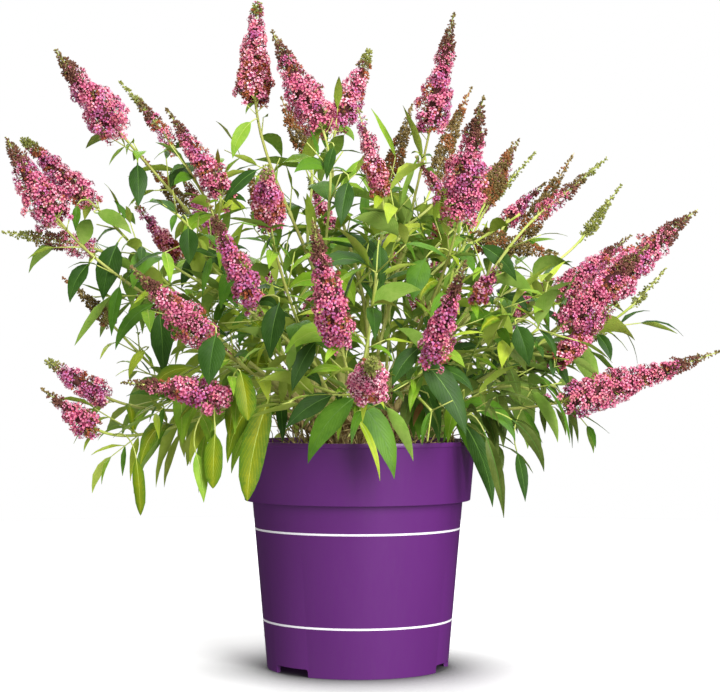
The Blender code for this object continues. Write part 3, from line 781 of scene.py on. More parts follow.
LEADER_RADII = (0.0029, 0.0017)
SHOOT_RADII = (0.0025, 0.0017)
STEM_SIDES = 3
STEM_SECTION = 0.050
SKIRT_SHOOTS = 16
SKIRT_REACH = (0.150, 0.200)
SKIRT_HEIGHT = (0.245, 0.275)
SKIRT_RISE = -20
FILL_SHOOTS = 18
FILL_REACH = (0.090, 0.220)
FILL_HEIGHT = (0.290, 0.440)
FILL_RISE = 35
GOLDEN_TURN = 0.382
FIRST_FORK = 0.15
NEXT_FORK = 0.17
LEAFY_FORK = 0.06
STEM_ROOM = 0.0012
STEM_TRIES = 8
FINE_STEM_SIDES = 8
FINE_STEM_SECTION = 0.006
STEM_SLIMNESS = 0.66
STEM_SQUARENESS = 0.06
STEM_RINGS = 0.45
STEM_COLOURS = ((166, 182, 74), (204, 212, 120))
LEADER_COLOURS = ((156, 156, 78), (186, 192, 102))


def spike_shape(base, along, length, girth):
    """The space of a flower spike: a cone, full near its foot and tapering to a point."""
    corners = 6 if girth > 0.024 else 5
    levels = ((0, 0.6), (0.2, 1.0), (0.5, 0.84), (0.78, 0.48))
    side = along.orthogonal().normalized()
    across = along.cross(side)
    verts = []
    for ring, (share, wide) in enumerate(levels):
        for corner in range(corners):
            out = circling(side, across, math.tau * (corner + ring / 2) / corners)
            verts.append(base + along * length * share + out * wide * girth / 2)
    verts.append(base + along * length)
    faces = tube_faces(len(levels), corners)
    faces.pop()
    tip = len(verts) - 1
    ring = tip - corners
    faces += [(ring + c, ring + (c + 1) % corners, tip) for c in range(corners)]
    return verts, faces


def swollen(verts, faces, gap):
    """The same corner points pushed out by the gap, square to the faces that meet there."""
    pushes = [Vector() for _ in verts]
    for face in faces:
        a, b, c = (verts[i] for i in face[:3])
        normal = (b - a).cross(c - a).normalized()
        for i in face:
            pushes[i] += normal
    return [vert + push.normalized() * gap for vert, push in zip(verts, pushes)]


class Solid:
    """One closed shape with its box and its search tree, to find what it touches."""

    def __init__(self, verts, faces):
        self.verts = verts
        self.faces = faces
        self.tree = BVHTree.FromPolygons(verts, faces)
        self.low = Vector([min(vert[i] for vert in verts) for i in range(3)])
        self.high = Vector([max(vert[i] for vert in verts) for i in range(3)])

    def is_near(self, other, gap):
        return all(
            self.low[i] - gap < other.high[i] and other.low[i] - gap < self.high[i]
            for i in range(3)
        )

    def touches(self, others, gap, spared):
        """Whether this comes within the gap of any of the others, apart from those spared."""
        rivals = [other for other in others if other not in spared and self.is_near(other, gap)]
        if not rivals:
            return False
        grown = BVHTree.FromPolygons(swollen(self.verts, self.faces, gap), self.faces)
        return any(grown.overlap(rival.tree) for rival in rivals)


class Shoot:
    """A leafy stem, with a flower spike at its end or none, that forks from its leader at a share."""

    def __init__(self, limb, spike, fork=None):
        self.limb = limb
        self.spike = spike
        self.fork = fork
        self.solid = Solid(*limb.shape(STEM_SIDES))
        self.fine = None
        self.joints = []


def grow_leader(mass, solids):
    """The main stem of a mass, in line with its cane, up into its first spike."""
    spike = mass.spikes[0]
    leave = mass.cane.tangents[-1]
    start = mass.cane.points[-1] + leave * CLEARANCE
    limb = Limb(start, leave, spike.stem_end(), spike.along, LEADER_RADII, STEM_SECTION)
    shoot = Shoot(limb, spike)
    mass.shoots.append(shoot)
    solids.append(shoot.solid)


def grow_side_shoot(mass, share, end, arrive, spike, solids, draw):
    """A stem that leaves the leader at a share of its length, where it finds a way clear of the rest."""
    leader = mass.shoots[0]
    for attempt in range(STEM_TRIES):
        start, tangent, _ = leader.limb.at(leader.limb.length * share)
        sway = Vector([draw.uniform(-1, 1) for _ in range(3)]) * 0.15 * attempt
        leave = (tangent * 0.5 + (end - start).normalized() * 0.6 + sway).normalized()
        limb = Limb(start, leave, end, arrive, SHOOT_RADII, STEM_SECTION)
        shoot = Shoot(limb, spike, share)
        if not shoot.solid.touches(solids, STEM_ROOM, [leader.solid]):
            mass.shoots.append(shoot)
            solids.append(shoot.solid)
            return True
        share = min(0.9, share + 0.04)
    return False


def leafy_ends(draw):
    """Where the leafy shoots end and which way they point: the skirt, then the filling."""
    ends = []
    for i in range(SKIRT_SHOOTS):
        bearing = 360 * (i + draw.uniform(-0.3, 0.3)) / SKIRT_SHOOTS
        out = direction(bearing, 0) * draw.uniform(*SKIRT_REACH)
        ends.append((out + UP * draw.uniform(*SKIRT_HEIGHT), direction(bearing, SKIRT_RISE)))
    for i in range(FILL_SHOOTS):
        bearing = 360 * GOLDEN_TURN * i
        out = direction(bearing, 0) * draw.uniform(*FILL_REACH)
        ends.append((out + UP * draw.uniform(*FILL_HEIGHT), direction(bearing, FILL_RISE)))
    return ends


def grow_leafy_shoots(masses, solids):
    """Each leafy shoot grows from the nearest of the masses that has room for it."""
    draw = random.Random(23)
    for end, arrive in leafy_ends(draw):
        nearest = sorted(masses, key=lambda mass: (mass.cane.points[-1] - end).length)
        for mass in nearest[:3]:
            if grow_side_shoot(mass, LEAFY_FORK, end, arrive, None, solids, draw):
                break


def grow_blossom(mass, solids):
    for shoot in mass.shoots:
        if shoot.spike:
            spike = shoot.spike
            solids.append(Solid(*spike_shape(spike.foot, spike.along, spike.length, spike.girth)))


def node_solid(name):
    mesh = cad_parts[name].data
    faces = [tuple(face.vertices) for face in mesh.polygons]
    return Solid([vert.co.copy() for vert in mesh.vertices], faces)


def refine(mass):
    """Gives each shoot its smooth line. A side shoot starts on its leader's smooth line."""
    for shoot in mass.shoots:
        start = None
        if shoot.fork:
            leader = mass.shoots[0].fine
            start = leader.at(leader.length * shoot.fork)[0]
        shoot.fine = shoot.limb.finer(FINE_STEM_SECTION, start)


def joint_swell(joints, length):
    """A stem is slightly square, and thicker at each of its leaf joints."""

    def swell(share, turn):
        near = min((abs(share - joint) * length for joint in joints), default=1)
        ring = math.exp(-((near / RING_WIDTH) ** 2))
        return STEM_SLIMNESS * (1 + STEM_SQUARENESS * math.cos(4 * turn) + STEM_RINGS * ring)

    return swell


solids = [node_solid("pot"), node_solid("potting_mix")]
solids += [Solid(*mass.cane.shape(CANE_SIDES)) for mass in masses]
for mass in masses:
    grow_leader(mass, solids)
draw = random.Random(5)
for mass in masses:
    for place, spike in enumerate(mass.spikes[1:]):
        share = FIRST_FORK + NEXT_FORK * place
        grow_side_shoot(mass, share, spike.stem_end(), spike.along, spike, solids, draw)
for mass in masses:
    grow_blossom(mass, solids)
grow_leafy_shoots(masses, solids)
for mass in masses:
    refine(mass)

# The leaves: opposite pairs that turn a quarter from each joint to the next, lance-shaped, folded along
# the rib and hanging with age. Above they are green to lime, darker low on the right as painted shade;
# below pale and felted, and brightened as painted light shining through. In the joints sit short twigs
# with small new leaves.

LEAF_STEP = 0.038
FIRST_LEAF = 0.022
LEAF_LENGTH = 0.112
LEAF_LENGTH_AT_SPIKE = 0.060
LEAF_GROWS_OVER = 0.130
LEAFY_START = 0.4
LEAF_SIZES = (0.85, 1.12)
LEAF_GIVES_WAY = 0.12
LEAF_TURN = 12
LEAF_WEIGHT = 25
LEAF_WIDTH = 0.36
LEAF_FOLD = 0.040
LEAF_STEPS = 5
LEAF_SINK = 0.0008
LEAF_LEAN = (45, 65)
LEAF_DROOP = (35, 80)
LEAF_ROLL = 30
LEAF_TRIES = 6
LEAF_ROOM = 0.0010
OWN_SPACE_MARGIN = 0.020
SPACE_STEP = 0.020
LOWEST_LEAF = 0.150
WIDEST_LEAF = 0.345
DEEPEST_LEAF = 0.328

# Where a blade's rows of corners lie along it, and how wide it is there
LONG_BLADE = (
    (0, 0.07), (0.06, 0.10), (0.13, 0.50), (0.23, 0.84), (0.36, 1.0),
    (0.52, 0.94), (0.67, 0.72), (0.81, 0.43), (0.92, 0.18), (1, 0.01),
)
OBLONG_BLADE = (
    (0, 0.08), (0.05, 0.24), (0.13, 0.62), (0.25, 0.90), (0.42, 1.0),
    (0.62, 0.97), (0.78, 0.80), (0.90, 0.48), (0.97, 0.20), (1, 0.02),
)
SHORT_BLADE = ((0, 0.10), (0.12, 0.55), (0.32, 1.0), (0.58, 0.86), (0.82, 0.40), (1, 0.02))
LONG_HALVES = (0.125, 0.190)
LONG_SHARE = 0.80
SIZES_TO_TRY = (1, 0.75, 0.5)
SKIRT_SLIMNESS = 0.72
SHORT_HALVES = (0.085, 0.135)
BLADE_FOLD = (14, 38)
BLADE_TWIST = 32
BLADE_SAG = 16
BLADE_ARCH = 0.26
FOLD_OPENS = 0.55
WAVE_HEIGHT = 0.10
WAVES = 13
BLADE_THICKNESS = 0.0003
RIB_PROUD = 0.05
RIB_WIDTH = 0.0011
TWIG_LENGTH = (0.014, 0.060)
TWIG_RADIUS = 0.0007
TWIG_START = 0.004
TWIG_SHARE = 0.92
TWIG_JOINT = 0.015
TWIG_LEAN = (25, 55)
TWIG_TAPER = (1.2, 1, 0.8)
SMALL_LEAF = (0.024, 0.060)
SMALL_LEAF_LEAN = (25, 60)
SMALL_LEAF_DROOP = (15, 70)
SMALL_LEAF_ROLL = 40
SMALL_LEAF_ROOM = 0.010

LEAF_TINTS = {
    "dark": ((39, 72, 15), (54, 90, 25)),
    # olive: the tint of leaves low on the right, darkened as painted shade
    "olive": ((66, 84, 24), (96, 112, 44)),
    "green": ((63, 106, 18), (88, 131, 30)),
    "fresh": ((104, 148, 26), (138, 174, 44)),
    "lime": ((144, 170, 32), (176, 193, 60)),
    "turning": ((106, 130, 5), (166, 164, 18)),
    "dry": ((116, 76, 38), (166, 124, 72)),
}
TURNING_EDGE = (74, 112, 14)
# Undersides are pale and felted as on the real leaf, and brightened further as painted light shining through
# the leaf; the brighter set lies under the light tints
UNDERSIDE_TINTS = {"pale": ((116, 152, 54), (146, 174, 80)), "bright": ((144, 170, 54), (170, 188, 80))}
RIB_TINTS = {"dark": ((74, 116, 38), (98, 138, 52)), "light": ((158, 182, 66), (184, 200, 94))}

# Leaves that show plainly in front: root, tip, how far they droop, how far they roll, how wide each half
# is for their length, and their tint
FRONT_LEAVES = (
    ((-0.080, -0.125, 0.263), (-0.097, -0.130, 0.168), 24, 0, 0.125, "turning"),
    ((-0.128, -0.145, 0.230), (-0.129, -0.152, 0.181), 20, 8, 0.180, "turning"),
    ((0.000, -0.150, 0.264), (-0.044, -0.158, 0.204), 45, 14, 0.150, "green"),
    ((0.001, -0.152, 0.260), (0.033, -0.160, 0.190), 40, -12, 0.148, "green"),
    ((-0.002, -0.156, 0.247), (0.014, -0.164, 0.187), 50, 0, 0.050, "lime"),
    ((0.024, -0.145, 0.256), (0.050, -0.152, 0.206), 30, 16, 0.120, "dark"),
    ((-0.021, -0.145, 0.265), (-0.064, -0.155, 0.235), 35, 14, 0.180, "dark"),
    ((0.054, -0.150, 0.299), (0.097, -0.160, 0.228), 40, -10, 0.150, "dark"),
    ((0.056, -0.155, 0.308), (0.031, -0.162, 0.273), 35, 8, 0.200, "dark"),
    ((0.095, -0.130, 0.268), (0.083, -0.134, 0.221), 30, 20, 0.170, "fresh"),
    ((0.098, -0.090, 0.240), (0.122, -0.096, 0.160), 36, 12, 0.105, "dark"),
    ((-0.126, -0.160, 0.320), (-0.131, -0.168, 0.273), 25, 4, 0.270, "dark"),
    ((-0.070, -0.150, 0.348), (-0.077, -0.160, 0.297), 30, 0, 0.220, "dark"),
    ((-0.105, -0.150, 0.286), (-0.098, -0.158, 0.242), 25, 10, 0.220, "turning"),
    ((-0.036, -0.160, 0.314), (-0.058, -0.166, 0.268), 30, -12, 0.170, "dark"),
    ((0.020, -0.160, 0.400), (0.021, -0.168, 0.363), 25, -6, 0.190, "dark"),
    ((-0.008, -0.075, 0.466), (-0.014, -0.083, 0.422), 30, 6, 0.210, "dark"),
    ((0.064, -0.080, 0.393), (0.052, -0.088, 0.352), 30, 10, 0.260, "green"),
    ((-0.231, -0.030, 0.411), (-0.242, -0.038, 0.354), 30, 0, 0.220, "dark"),
    ((-0.254, -0.055, 0.390), (-0.270, -0.063, 0.351), 50, 10, 0.200, "dark"),
    ((-0.189, -0.045, 0.345), (-0.185, -0.053, 0.282), 20, 0, 0.190, "dark"),
    ((-0.155, -0.120, 0.419), (-0.153, -0.128, 0.383), 20, 6, 0.260, "dark"),
    ((0.144, -0.130, 0.329), (0.155, -0.138, 0.291), 25, 0, 0.260, "dark"),
    ((0.117, -0.035, 0.408), (0.152, -0.043, 0.373), 45, -8, 0.170, "dark"),
    ((0.231, -0.020, 0.323), (0.244, -0.028, 0.297), 50, 0, 0.200, "dark"),
    ((-0.214, -0.015, 0.490), (-0.212, -0.023, 0.446), 20, 0, 0.210, "dark"),
    ((-0.226, -0.050, 0.370), (-0.232, -0.058, 0.320), 25, 10, 0.130, "green"),
    ((-0.203, -0.030, 0.308), (-0.219, -0.038, 0.280), 50, 10, 0.150, "lime"),
    ((-0.192, -0.045, 0.352), (-0.230, -0.053, 0.307), 60, 10, 0.110, "green"),
    ((0.116, -0.120, 0.231), (0.128, -0.126, 0.152), 30, 8, 0.088, "olive"),
    ((0.142, -0.110, 0.242), (0.167, -0.116, 0.193), 60, 0, 0.100, "olive"),
    ((-0.202, -0.120, 0.207), (-0.198, -0.126, 0.155), 20, 10, 0.120, "turning"),
    ((-0.146, -0.140, 0.214), (-0.138, -0.146, 0.168), 20, -8, 0.140, "fresh"),
    ((0.147, -0.100, 0.213), (0.153, -0.106, 0.166), 25, 20, 0.115, "dark"),
    ((-0.255, -0.015, 0.441), (-0.219, -0.021, 0.420), 50, 10, 0.170, "dark"),
    ((-0.273, -0.010, 0.450), (-0.274, -0.016, 0.423), 10, 0, 0.170, "green"),
    ((-0.102, -0.020, 0.530), (-0.119, -0.026, 0.492), 50, -10, 0.170, "fresh"),
    ((-0.095, -0.030, 0.482), (-0.129, -0.036, 0.446), 40, 10, 0.140, "dark"),
    ((-0.022, -0.070, 0.499), (-0.029, -0.076, 0.466), 20, 6, 0.170, "dark"),
    ((0.066, -0.104, 0.262), (0.058, -0.108, 0.234), 80, 50, 0.120, "dry"),
    ((-0.038, -0.100, 0.246), (-0.050, -0.104, 0.228), 80, -50, 0.130, "dry"),
)
POT_FRONT = 0.098
FORWARD = Vector((0, -1, 0))
SPIKE_HEART = 0.7
VIEWER = Vector((0.0024, -1.82, 0.275))
LEAFY_YOUTH = 0.6
SPIKE_LEAF_SHRINK = 0.50
LIGHT_TURN = 0.5
FRONT_LIGHT = 0.05
LAST_TWIG = 0.86
BARE_UNDER_SPIKE = 0.60
SHOULDER_START = 0.09
SHOULDER_HEIGHT = 0.45
SHOULDER_SLOPE = 0.3

# The tints of leaves, in turn: the chance of each or of one before it, and how much that grows low on
# the plant and among new leaves
TINT_CHANCES = (
    ("turning", 0.02, 0.05, 0),
    ("lime", 0.09, 0.06, 0.14),
    ("fresh", 0.31, 0.08, 0.28),
    ("green", 0.68, 0, 0.22),
)
LOW_LEAVES = (0.42, 0.20)
# Painted shade low on the right: the heights and sides over which it grows, and how far it pushes the tint
# toward dark
PAINTED_SHADE_HEIGHTS = (0.32, 0.27)
PAINTED_SHADE_SIDE = (-0.02, 0.10)
PAINTED_SHADE_WEIGHT = 0.45


def leaf_line(root, out, length, droop):
    """The middle line of a leaf that sets off along out and bends down by the droop in degrees."""
    swing = out.cross(-UP)
    if swing.length < 1e-4:
        swing = Vector((1, 0, 0))
    swing.normalize()
    hang = out.angle(-UP)
    bend = min(math.radians(droop), hang * 0.9)
    points = [root.copy()]
    for step in range(LEAF_STEPS):
        turned_out = Matrix.Rotation(bend * (step + 0.5) / LEAF_STEPS, 3, swing) @ out
        points.append(points[-1] + turned_out * length / LEAF_STEPS)
    return points, swing, bend


def wide_way(points, swing, roll):
    """The direction across a leaf that rolls about its run, the same way up whatever the roll."""
    run = (points[-1] - points[0]).normalized()
    wide = Matrix.Rotation(math.radians(roll), 3, run) @ swing
    wide = (wide - run * wide.dot(run)).normalized()
    keel = run.cross(wide)
    return (-wide, -keel) if keel.z > 0 else (wide, keel)


def leaf_shape(root, out, length, droop, roll):
    """The space of a leaf: a pointed root, a wide middle and a tip, folded along its keel."""
    points, swing, _ = leaf_line(root, out, length, droop)
    wide, keel = wide_way(points, swing, roll)
    middle = points[2]
    half = length * LEAF_WIDTH / 2
    fold = length * LEAF_FOLD / 2
    verts = [
        root - out * LEAF_SINK,
        middle + wide * half - keel * fold,
        middle - wide * half - keel * fold,
        middle + keel * fold,
        points[-1],
    ]
    return verts, [(0, 1, 2), (0, 2, 3), (0, 3, 1), (1, 4, 2), (2, 4, 3), (3, 4, 1)]


def outer_shape(root, out, length, droop, roll, bare=0.1):
    """The space of a leaf past the bare share of it at its root."""
    return leaf_shape(root + out * bare * length, out, length * (1 - bare), droop, roll)


def space_of(mass):
    """A search tree of points all along a mass's stems and spikes, from which its space is told."""
    points = []
    for shoot in mass.shoots:
        count = max(2, int(shoot.limb.length / SPACE_STEP))
        points += [shoot.limb.at(shoot.limb.length * i / count)[0] for i in range(count + 1)]
        if shoot.spike:
            points += [shoot.spike.foot + shoot.spike.along * shoot.spike.length * i / 4 for i in (1, 2, 3)]
    tree = KDTree(len(points))
    for i, point in enumerate(points):
        tree.insert(point, i)
    tree.balance()
    return tree


def in_own_space(point, mass, masses):
    """Whether the point is nearer to the mass's own stems than to another's, or nearly so."""
    own = mass.own_space.find(point)[2]
    return all(
        rival is mass or rival.own_space.find(point)[2] > own - OWN_SPACE_MARGIN
        for rival in masses
    )


def in_reach(point):
    return point.z > LOWEST_LEAF and abs(point.x) < WIDEST_LEAF and abs(point.y) < DEEPEST_LEAF


# Where a leaf grows from its shoot, and how it lies
Leaf = namedtuple("Leaf", "shoot share out length droop roll")


def grow_leaves(mass, masses, solids):
    """Opposite pairs of leaves all along each shoot, from its end down to near its root."""
    for place, shoot in enumerate(mass.shoots):
        draw = random.Random(1000 * mass.number + place)
        turn = draw.uniform(0, 360)
        distance = shoot.limb.length - (1.6 * SPIKE_SINK if shoot.spike else LEAF_SINK)
        while distance > FIRST_LEAF:
            pair = []
            for mate in (0, 180):
                grown = grow_leaf(shoot, distance, turn + mate, mass, masses, solids, pair, draw)
                if grown:
                    pair.append(grown)
            solids += pair
            shoot.joints.append((distance / shoot.limb.length, turn))
            turn += 90
            distance -= LEAF_STEP * draw.uniform(0.85, 1.15)


def grow_leaf(shoot, distance, turn, mass, masses, solids, pair, draw):
    """One leaf, small near a spike. It is skipped where nothing it tries keeps to its own space."""
    root, tangent, side = shoot.limb.at(distance)
    size = (shoot.limb.length - distance) / LEAF_GROWS_OVER
    size = min(1, size + (0 if shoot.spike else LEAFY_START))
    full = LEAF_LENGTH_AT_SPIKE + (LEAF_LENGTH - LEAF_LENGTH_AT_SPIKE) * size
    for attempt in range(LEAF_TRIES):
        spin = math.radians(turn + draw.uniform(-LEAF_TURN, LEAF_TURN) * (1 + attempt))
        around = circling(side, tangent.cross(side), spin)
        out = circling(tangent, around, math.radians(draw.uniform(*LEAF_LEAN)))
        droop = draw.uniform(*LEAF_DROOP) + LEAF_WEIGHT * size
        roll = draw.uniform(-LEAF_ROLL, LEAF_ROLL)
        length = full * draw.uniform(*LEAF_SIZES) * (1 - LEAF_GIVES_WAY * attempt)
        line = leaf_line(root, out, length, droop)[0]
        if not all(in_reach(point) and in_own_space(point, mass, masses) for point in line[3:]):
            continue
        solid = Solid(*leaf_shape(root, out, length, droop, roll))
        if not solid.touches(solids, LEAF_ROOM, [shoot.solid, *pair]):
            mass.leaves.append(Leaf(shoot, distance / shoot.limb.length, out, length, droop, roll))
            return solid
    return None


class Foliage:
    """The heaps that leaves are gathered into, one for each tint above and below, and one for the ribs."""

    def __init__(self):
        self.uppers = {tint: Heap() for tint in LEAF_TINTS}
        self.unders = {tint: Heap() for tint in UNDERSIDE_TINTS}
        self.ribs = {tint: Heap() for tint in RIB_TINTS}

    def add(self, root, out, length, droop, roll, blade, half_width, tint, draw):
        """One blade: its two halves above, creased along the rib, one sheet below and the pale rib."""
        points, swing, bend = leaf_line(root, out, length, droop)
        wide, _ = wide_way(points, swing, roll)
        half = length * half_width
        fold = math.radians(draw.uniform(*BLADE_FOLD))
        twist = math.radians(draw.uniform(-BLADE_TWIST, BLADE_TWIST))
        ruffle = draw.uniform(0, math.tau)
        rows = []
        point = root.copy()
        before = 0
        for share, width in blade:
            way = Matrix.Rotation(bend * (share + before) / 2, 3, swing) @ out
            point = point + way * (share - before) * length
            before = share
            way = Matrix.Rotation(bend * share, 3, swing) @ out
            across = Matrix.Rotation(twist * share, 3, way) @ wide
            across = (across - way * across.dot(way)).normalized()
            rows.append((point, across, across.cross(way), share, width * half))
        for hand in (-1, 1):
            self.add_half(rows, hand, fold, ruffle, tint)
        is_light = tint in ("lime", "turning", "fresh")
        self.add_under(rows, fold, ruffle, "bright" if is_light else "pale")
        self.add_rib(rows, fold, length, "light" if is_light else "dark")

    def spot(self, row, hand, column, fold, ruffle):
        """A point of a blade's upper side. The columns run from 0 at the rib to 1 at the edge."""
        point, across, normal, share, half = row
        tilt = fold * (1 - FOLD_OPENS * share)
        wave = WAVE_HEIGHT * math.sin(share * WAVES + ruffle + hand) * column * column
        rise = math.sin(tilt) * column - BLADE_ARCH * column * column + wave
        return point + across * hand * column * half * math.cos(tilt) + normal * rise * half

    def add_half(self, rows, hand, fold, ruffle, tint):
        verts = []
        marks = []
        for row in rows:
            for column in (0, 0.5, 1):
                verts.append(self.spot(row, hand, column, fold, ruffle))
                marks.append((0.5 + hand * column / 2, row[3]))
        faces = []
        for i in range(len(rows) - 1):
            for j in (0, 1):
                here = i * 3 + j
                face = (here, here + 1, here + 4, here + 3)
                faces.append(face if hand > 0 else tuple(reversed(face)))
        self.uppers[tint].add(verts, faces, marks)

    def add_under(self, rows, fold, ruffle, tint):
        verts = []
        marks = []
        for row in rows:
            rib = row[0] - row[2] * (BLADE_THICKNESS + RIB_PROUD * row[4])
            verts += [self.spot(row, -1, 1, fold, ruffle), rib, self.spot(row, 1, 1, fold, ruffle)]
            marks += [(0, row[3]), (0.5, row[3]), (1, row[3])]
        faces = []
        for i in range(len(rows) - 1):
            here = 3 * i
            faces += [(here, here + 3, here + 4, here + 1), (here + 1, here + 4, here + 5, here + 2)]
        self.unders[tint].add(verts, faces, marks)

    def add_rib(self, rows, fold, length, tint):
        verts = []
        for point, across, normal, share, _ in rows:
            wide = RIB_WIDTH / 2 * (1.05 - share) * min(1, length / 0.08)
            lift = normal * (wide * math.sin(fold) + 0.0001)
            verts += [point - across * wide + lift, point + across * wide + lift]
        faces = [(2 * i, 2 * i + 1, 2 * i + 3, 2 * i + 2) for i in range(len(rows) - 1)]
        self.ribs[tint].add(verts, faces)


def along_span(value, span, least=0):
    """How far a value lies along a span, from 0 to 1, or down to the least before its start."""
    start, end = span
    return max(least, min(1, (value - start) / (end - start)))


def tint_of(place, youth, draw):
    """Which green a leaf has: lime when new, dark when old, and darker low on the right, down to olive, as
    painted shade. Some turn yellow.
    """
    low = along_span(place.z, LOW_LEAVES)
    painted_shade = along_span(place.z, PAINTED_SHADE_HEIGHTS) * along_span(place.x, PAINTED_SHADE_SIDE, -0.3)
    youth *= 1 - max(0, painted_shade)
    chance = draw.random() + PAINTED_SHADE_WEIGHT * painted_shade
    for tint, share, more_low, more_new in TINT_CHANCES:
        if chance < share + more_low * low + more_new * youth:
            return tint
    return "olive" if painted_shade > 0.5 else "dark"


def is_kept_bare(point):
    """Whether a point hangs in front of the pot or stands on the right shoulder of the crown, where only
    spikes rise. The photograph shows both places nearly bare."""
    over_pot = point.y < 0 and abs(point.x) < POT_FRONT and point.z < POT_HEIGHT
    past = point.x - SHOULDER_START
    return over_pot or (past > 0 and point.z > SHOULDER_HEIGHT - SHOULDER_SLOPE * past)


def covers(line, shown):
    """Whether a leaf with this middle line hangs before a front spike or a leaf placed in front."""
    return any(shown.ray_cast(point, (point - VIEWER).normalized())[0] for point in line[1:])


def is_shed(leaf):
    """Whether a leaf has fallen: under old and green spikes the topmost are gone."""
    spike = leaf.shoot.spike
    return spike and spike.age in ("brown", "green") and leaf.share > BARE_UNDER_SPIKE


def turn_to_face(run, wide, light):
    """How far in degrees a leaf rolls about its run to bring its face square to the light."""
    run = run.normalized()
    facing = run.cross(light)
    turn = math.degrees(math.atan2(run.dot(wide.cross(facing)), wide.dot(facing)))
    return (turn + 90) % 180 - 90


def add_front_leaf(root, tip, droop, roll, half_width, tint, stems, foliage, twigs, draw):
    """A leaf with a given root and tip that faces forward, on a thin twig from the nearest stem. Gives
    its coarse shape."""
    root = Vector(root)
    chord = Vector(tip) - root
    swing = chord.cross(-UP).normalized()
    roll += turn_to_face(chord, swing, FORWARD)
    bend = math.radians(droop)
    out = Matrix.Rotation(-bend / 2, 3, swing) @ chord.normalized()
    length = chord.length * (bend / 2) / math.sin(bend / 2)
    stem = min(stems, key=lambda point: (point - root).length + 0.5 * max(0, root.z - point.z))
    way = arch(stem, (root - stem + UP * 0.03).normalized(), root, out, 0.006)
    twigs.add(*tube(way, [TWIG_RADIUS] * len(way), 5))
    blade = OBLONG_BLADE if tint == "turning" else LONG_BLADE
    foliage.add(root, out, length, droop, roll, blade, half_width, tint, draw)
    return outer_shape(root, out, length, droop, roll)


def grow_axil_twigs(mass, foliage, twigs, crowd, shown, taken, draw):
    """A twig in each leaf's joint, with pairs of small new leaves, where there is room."""
    for shoot in mass.shoots:
        for share, turn in shoot.joints:
            for mate in (0, 180):
                if draw.random() > TWIG_SHARE or (shoot.spike and share > LAST_TWIG):
                    continue
                point, tangent, side = shoot.fine.at(share * shoot.fine.length)
                spin = math.radians(turn + mate + draw.uniform(-15, 15))
                around = circling(side, tangent.cross(side), spin)
                out = circling(tangent, around, math.radians(draw.uniform(*TWIG_LEAN)))
                length = draw.uniform(*TWIG_LENGTH)
                hit = crowd.ray_cast(point + out * TWIG_START, out, length)[3]
                length = hit * 0.9 if hit else length
                end = point + out * length
                if length < TWIG_LENGTH[0] / 2 or not in_reach(end) or is_kept_bare(end):
                    continue
                radii = [TWIG_RADIUS * share for share in TWIG_TAPER]
                twigs.add(*tube([point, point.lerp(end, 0.5), end], radii, 4))
                pairs = max(1, int(length / TWIG_JOINT))
                for pair in range(pairs):
                    place = point.lerp(end, 1 - pair / pairs)
                    grow_small_pair(place, out, side, foliage, crowd, shown, taken, pair, draw)


def grow_small_pair(point, along, side, foliage, crowd, shown, taken, turns, draw):
    """Two small new leaves that face each other across a twig, where nothing fills their place yet."""
    spin = draw.uniform(-0.3, 0.3) + turns * math.pi / 2
    for mate in (0, math.pi):
        side = (side - along * side.dot(along)).normalized()
        around = circling(side, along.cross(side), spin + mate)
        out = circling(along, around, math.radians(draw.uniform(*SMALL_LEAF_LEAN)))
        length = draw.uniform(*SMALL_LEAF)
        droop = draw.uniform(*SMALL_LEAF_DROOP)
        roll = draw.uniform(-SMALL_LEAF_ROLL, SMALL_LEAF_ROLL)
        line = leaf_line(point, out, length, droop)[0]
        cell = tuple(round(part / SMALL_LEAF_ROOM) for part in line[3])
        if cell in taken or not in_reach(line[-1]) or is_kept_bare(line[-1]):
            continue
        body = outer_shape(point, out, length, droop, roll, 0.3)
        if not BVHTree.FromPolygons(*body).overlap(crowd) and not covers(line, shown):
            taken.add(cell)
            half_width = draw.uniform(*SHORT_HALVES)
            tint = tint_of(line[-1], 1, draw)
            foliage.add(point, out, length, droop, roll, SHORT_BLADE, half_width, tint, draw)


def leaf_finish(name, shades, roughness, edge=None):
    """Leaf green in two shades, with the net of side veins pressed into it and a soft satin. A leaf that
    turns yellow from the rib keeps a green edge."""
    finish = Finish(name, 0.2)
    marks = finish.node("ShaderNodeUVMap", {"uv_map": "marks"}, {})
    across, along = (finish.node("ShaderNodeSeparateXYZ", {}, {"Vector": marks}, axis) for axis in "XY")
    slant = (across - 0.5).math("ABSOLUTE")
    veins = finish.between(((along * 10 - slant * 8) * math.tau).math("SINE"), 0.55, 1.0)
    patches = finish.grain(28, 3)
    mottle = finish.grain(220, 4)
    colour = finish.two_tone(patches * 0.75 + mottle * 0.25, shades)
    colour = finish.mix(veins * 0.14, colour, paint(*shades[1]))
    if edge:
        spread = slant * 1.1 + mottle * 0.9 + patches * 0.7 - veins * 0.20
        colour = finish.mix(finish.between(spread, 0.55, 1.45), colour, paint(*edge))
    return finish.dress(colour, roughness - 0.06 + mottle * 0.14, mottle * 0.6 - veins * 0.5, 0.0004, 0.6)


foliage_nodes = [f"foliage_{mass.number:02d}" for mass in masses]
for mass in masses:
    mass.own_space = space_of(mass)
for mass in masses:
    grow_leaves(mass, masses, solids)

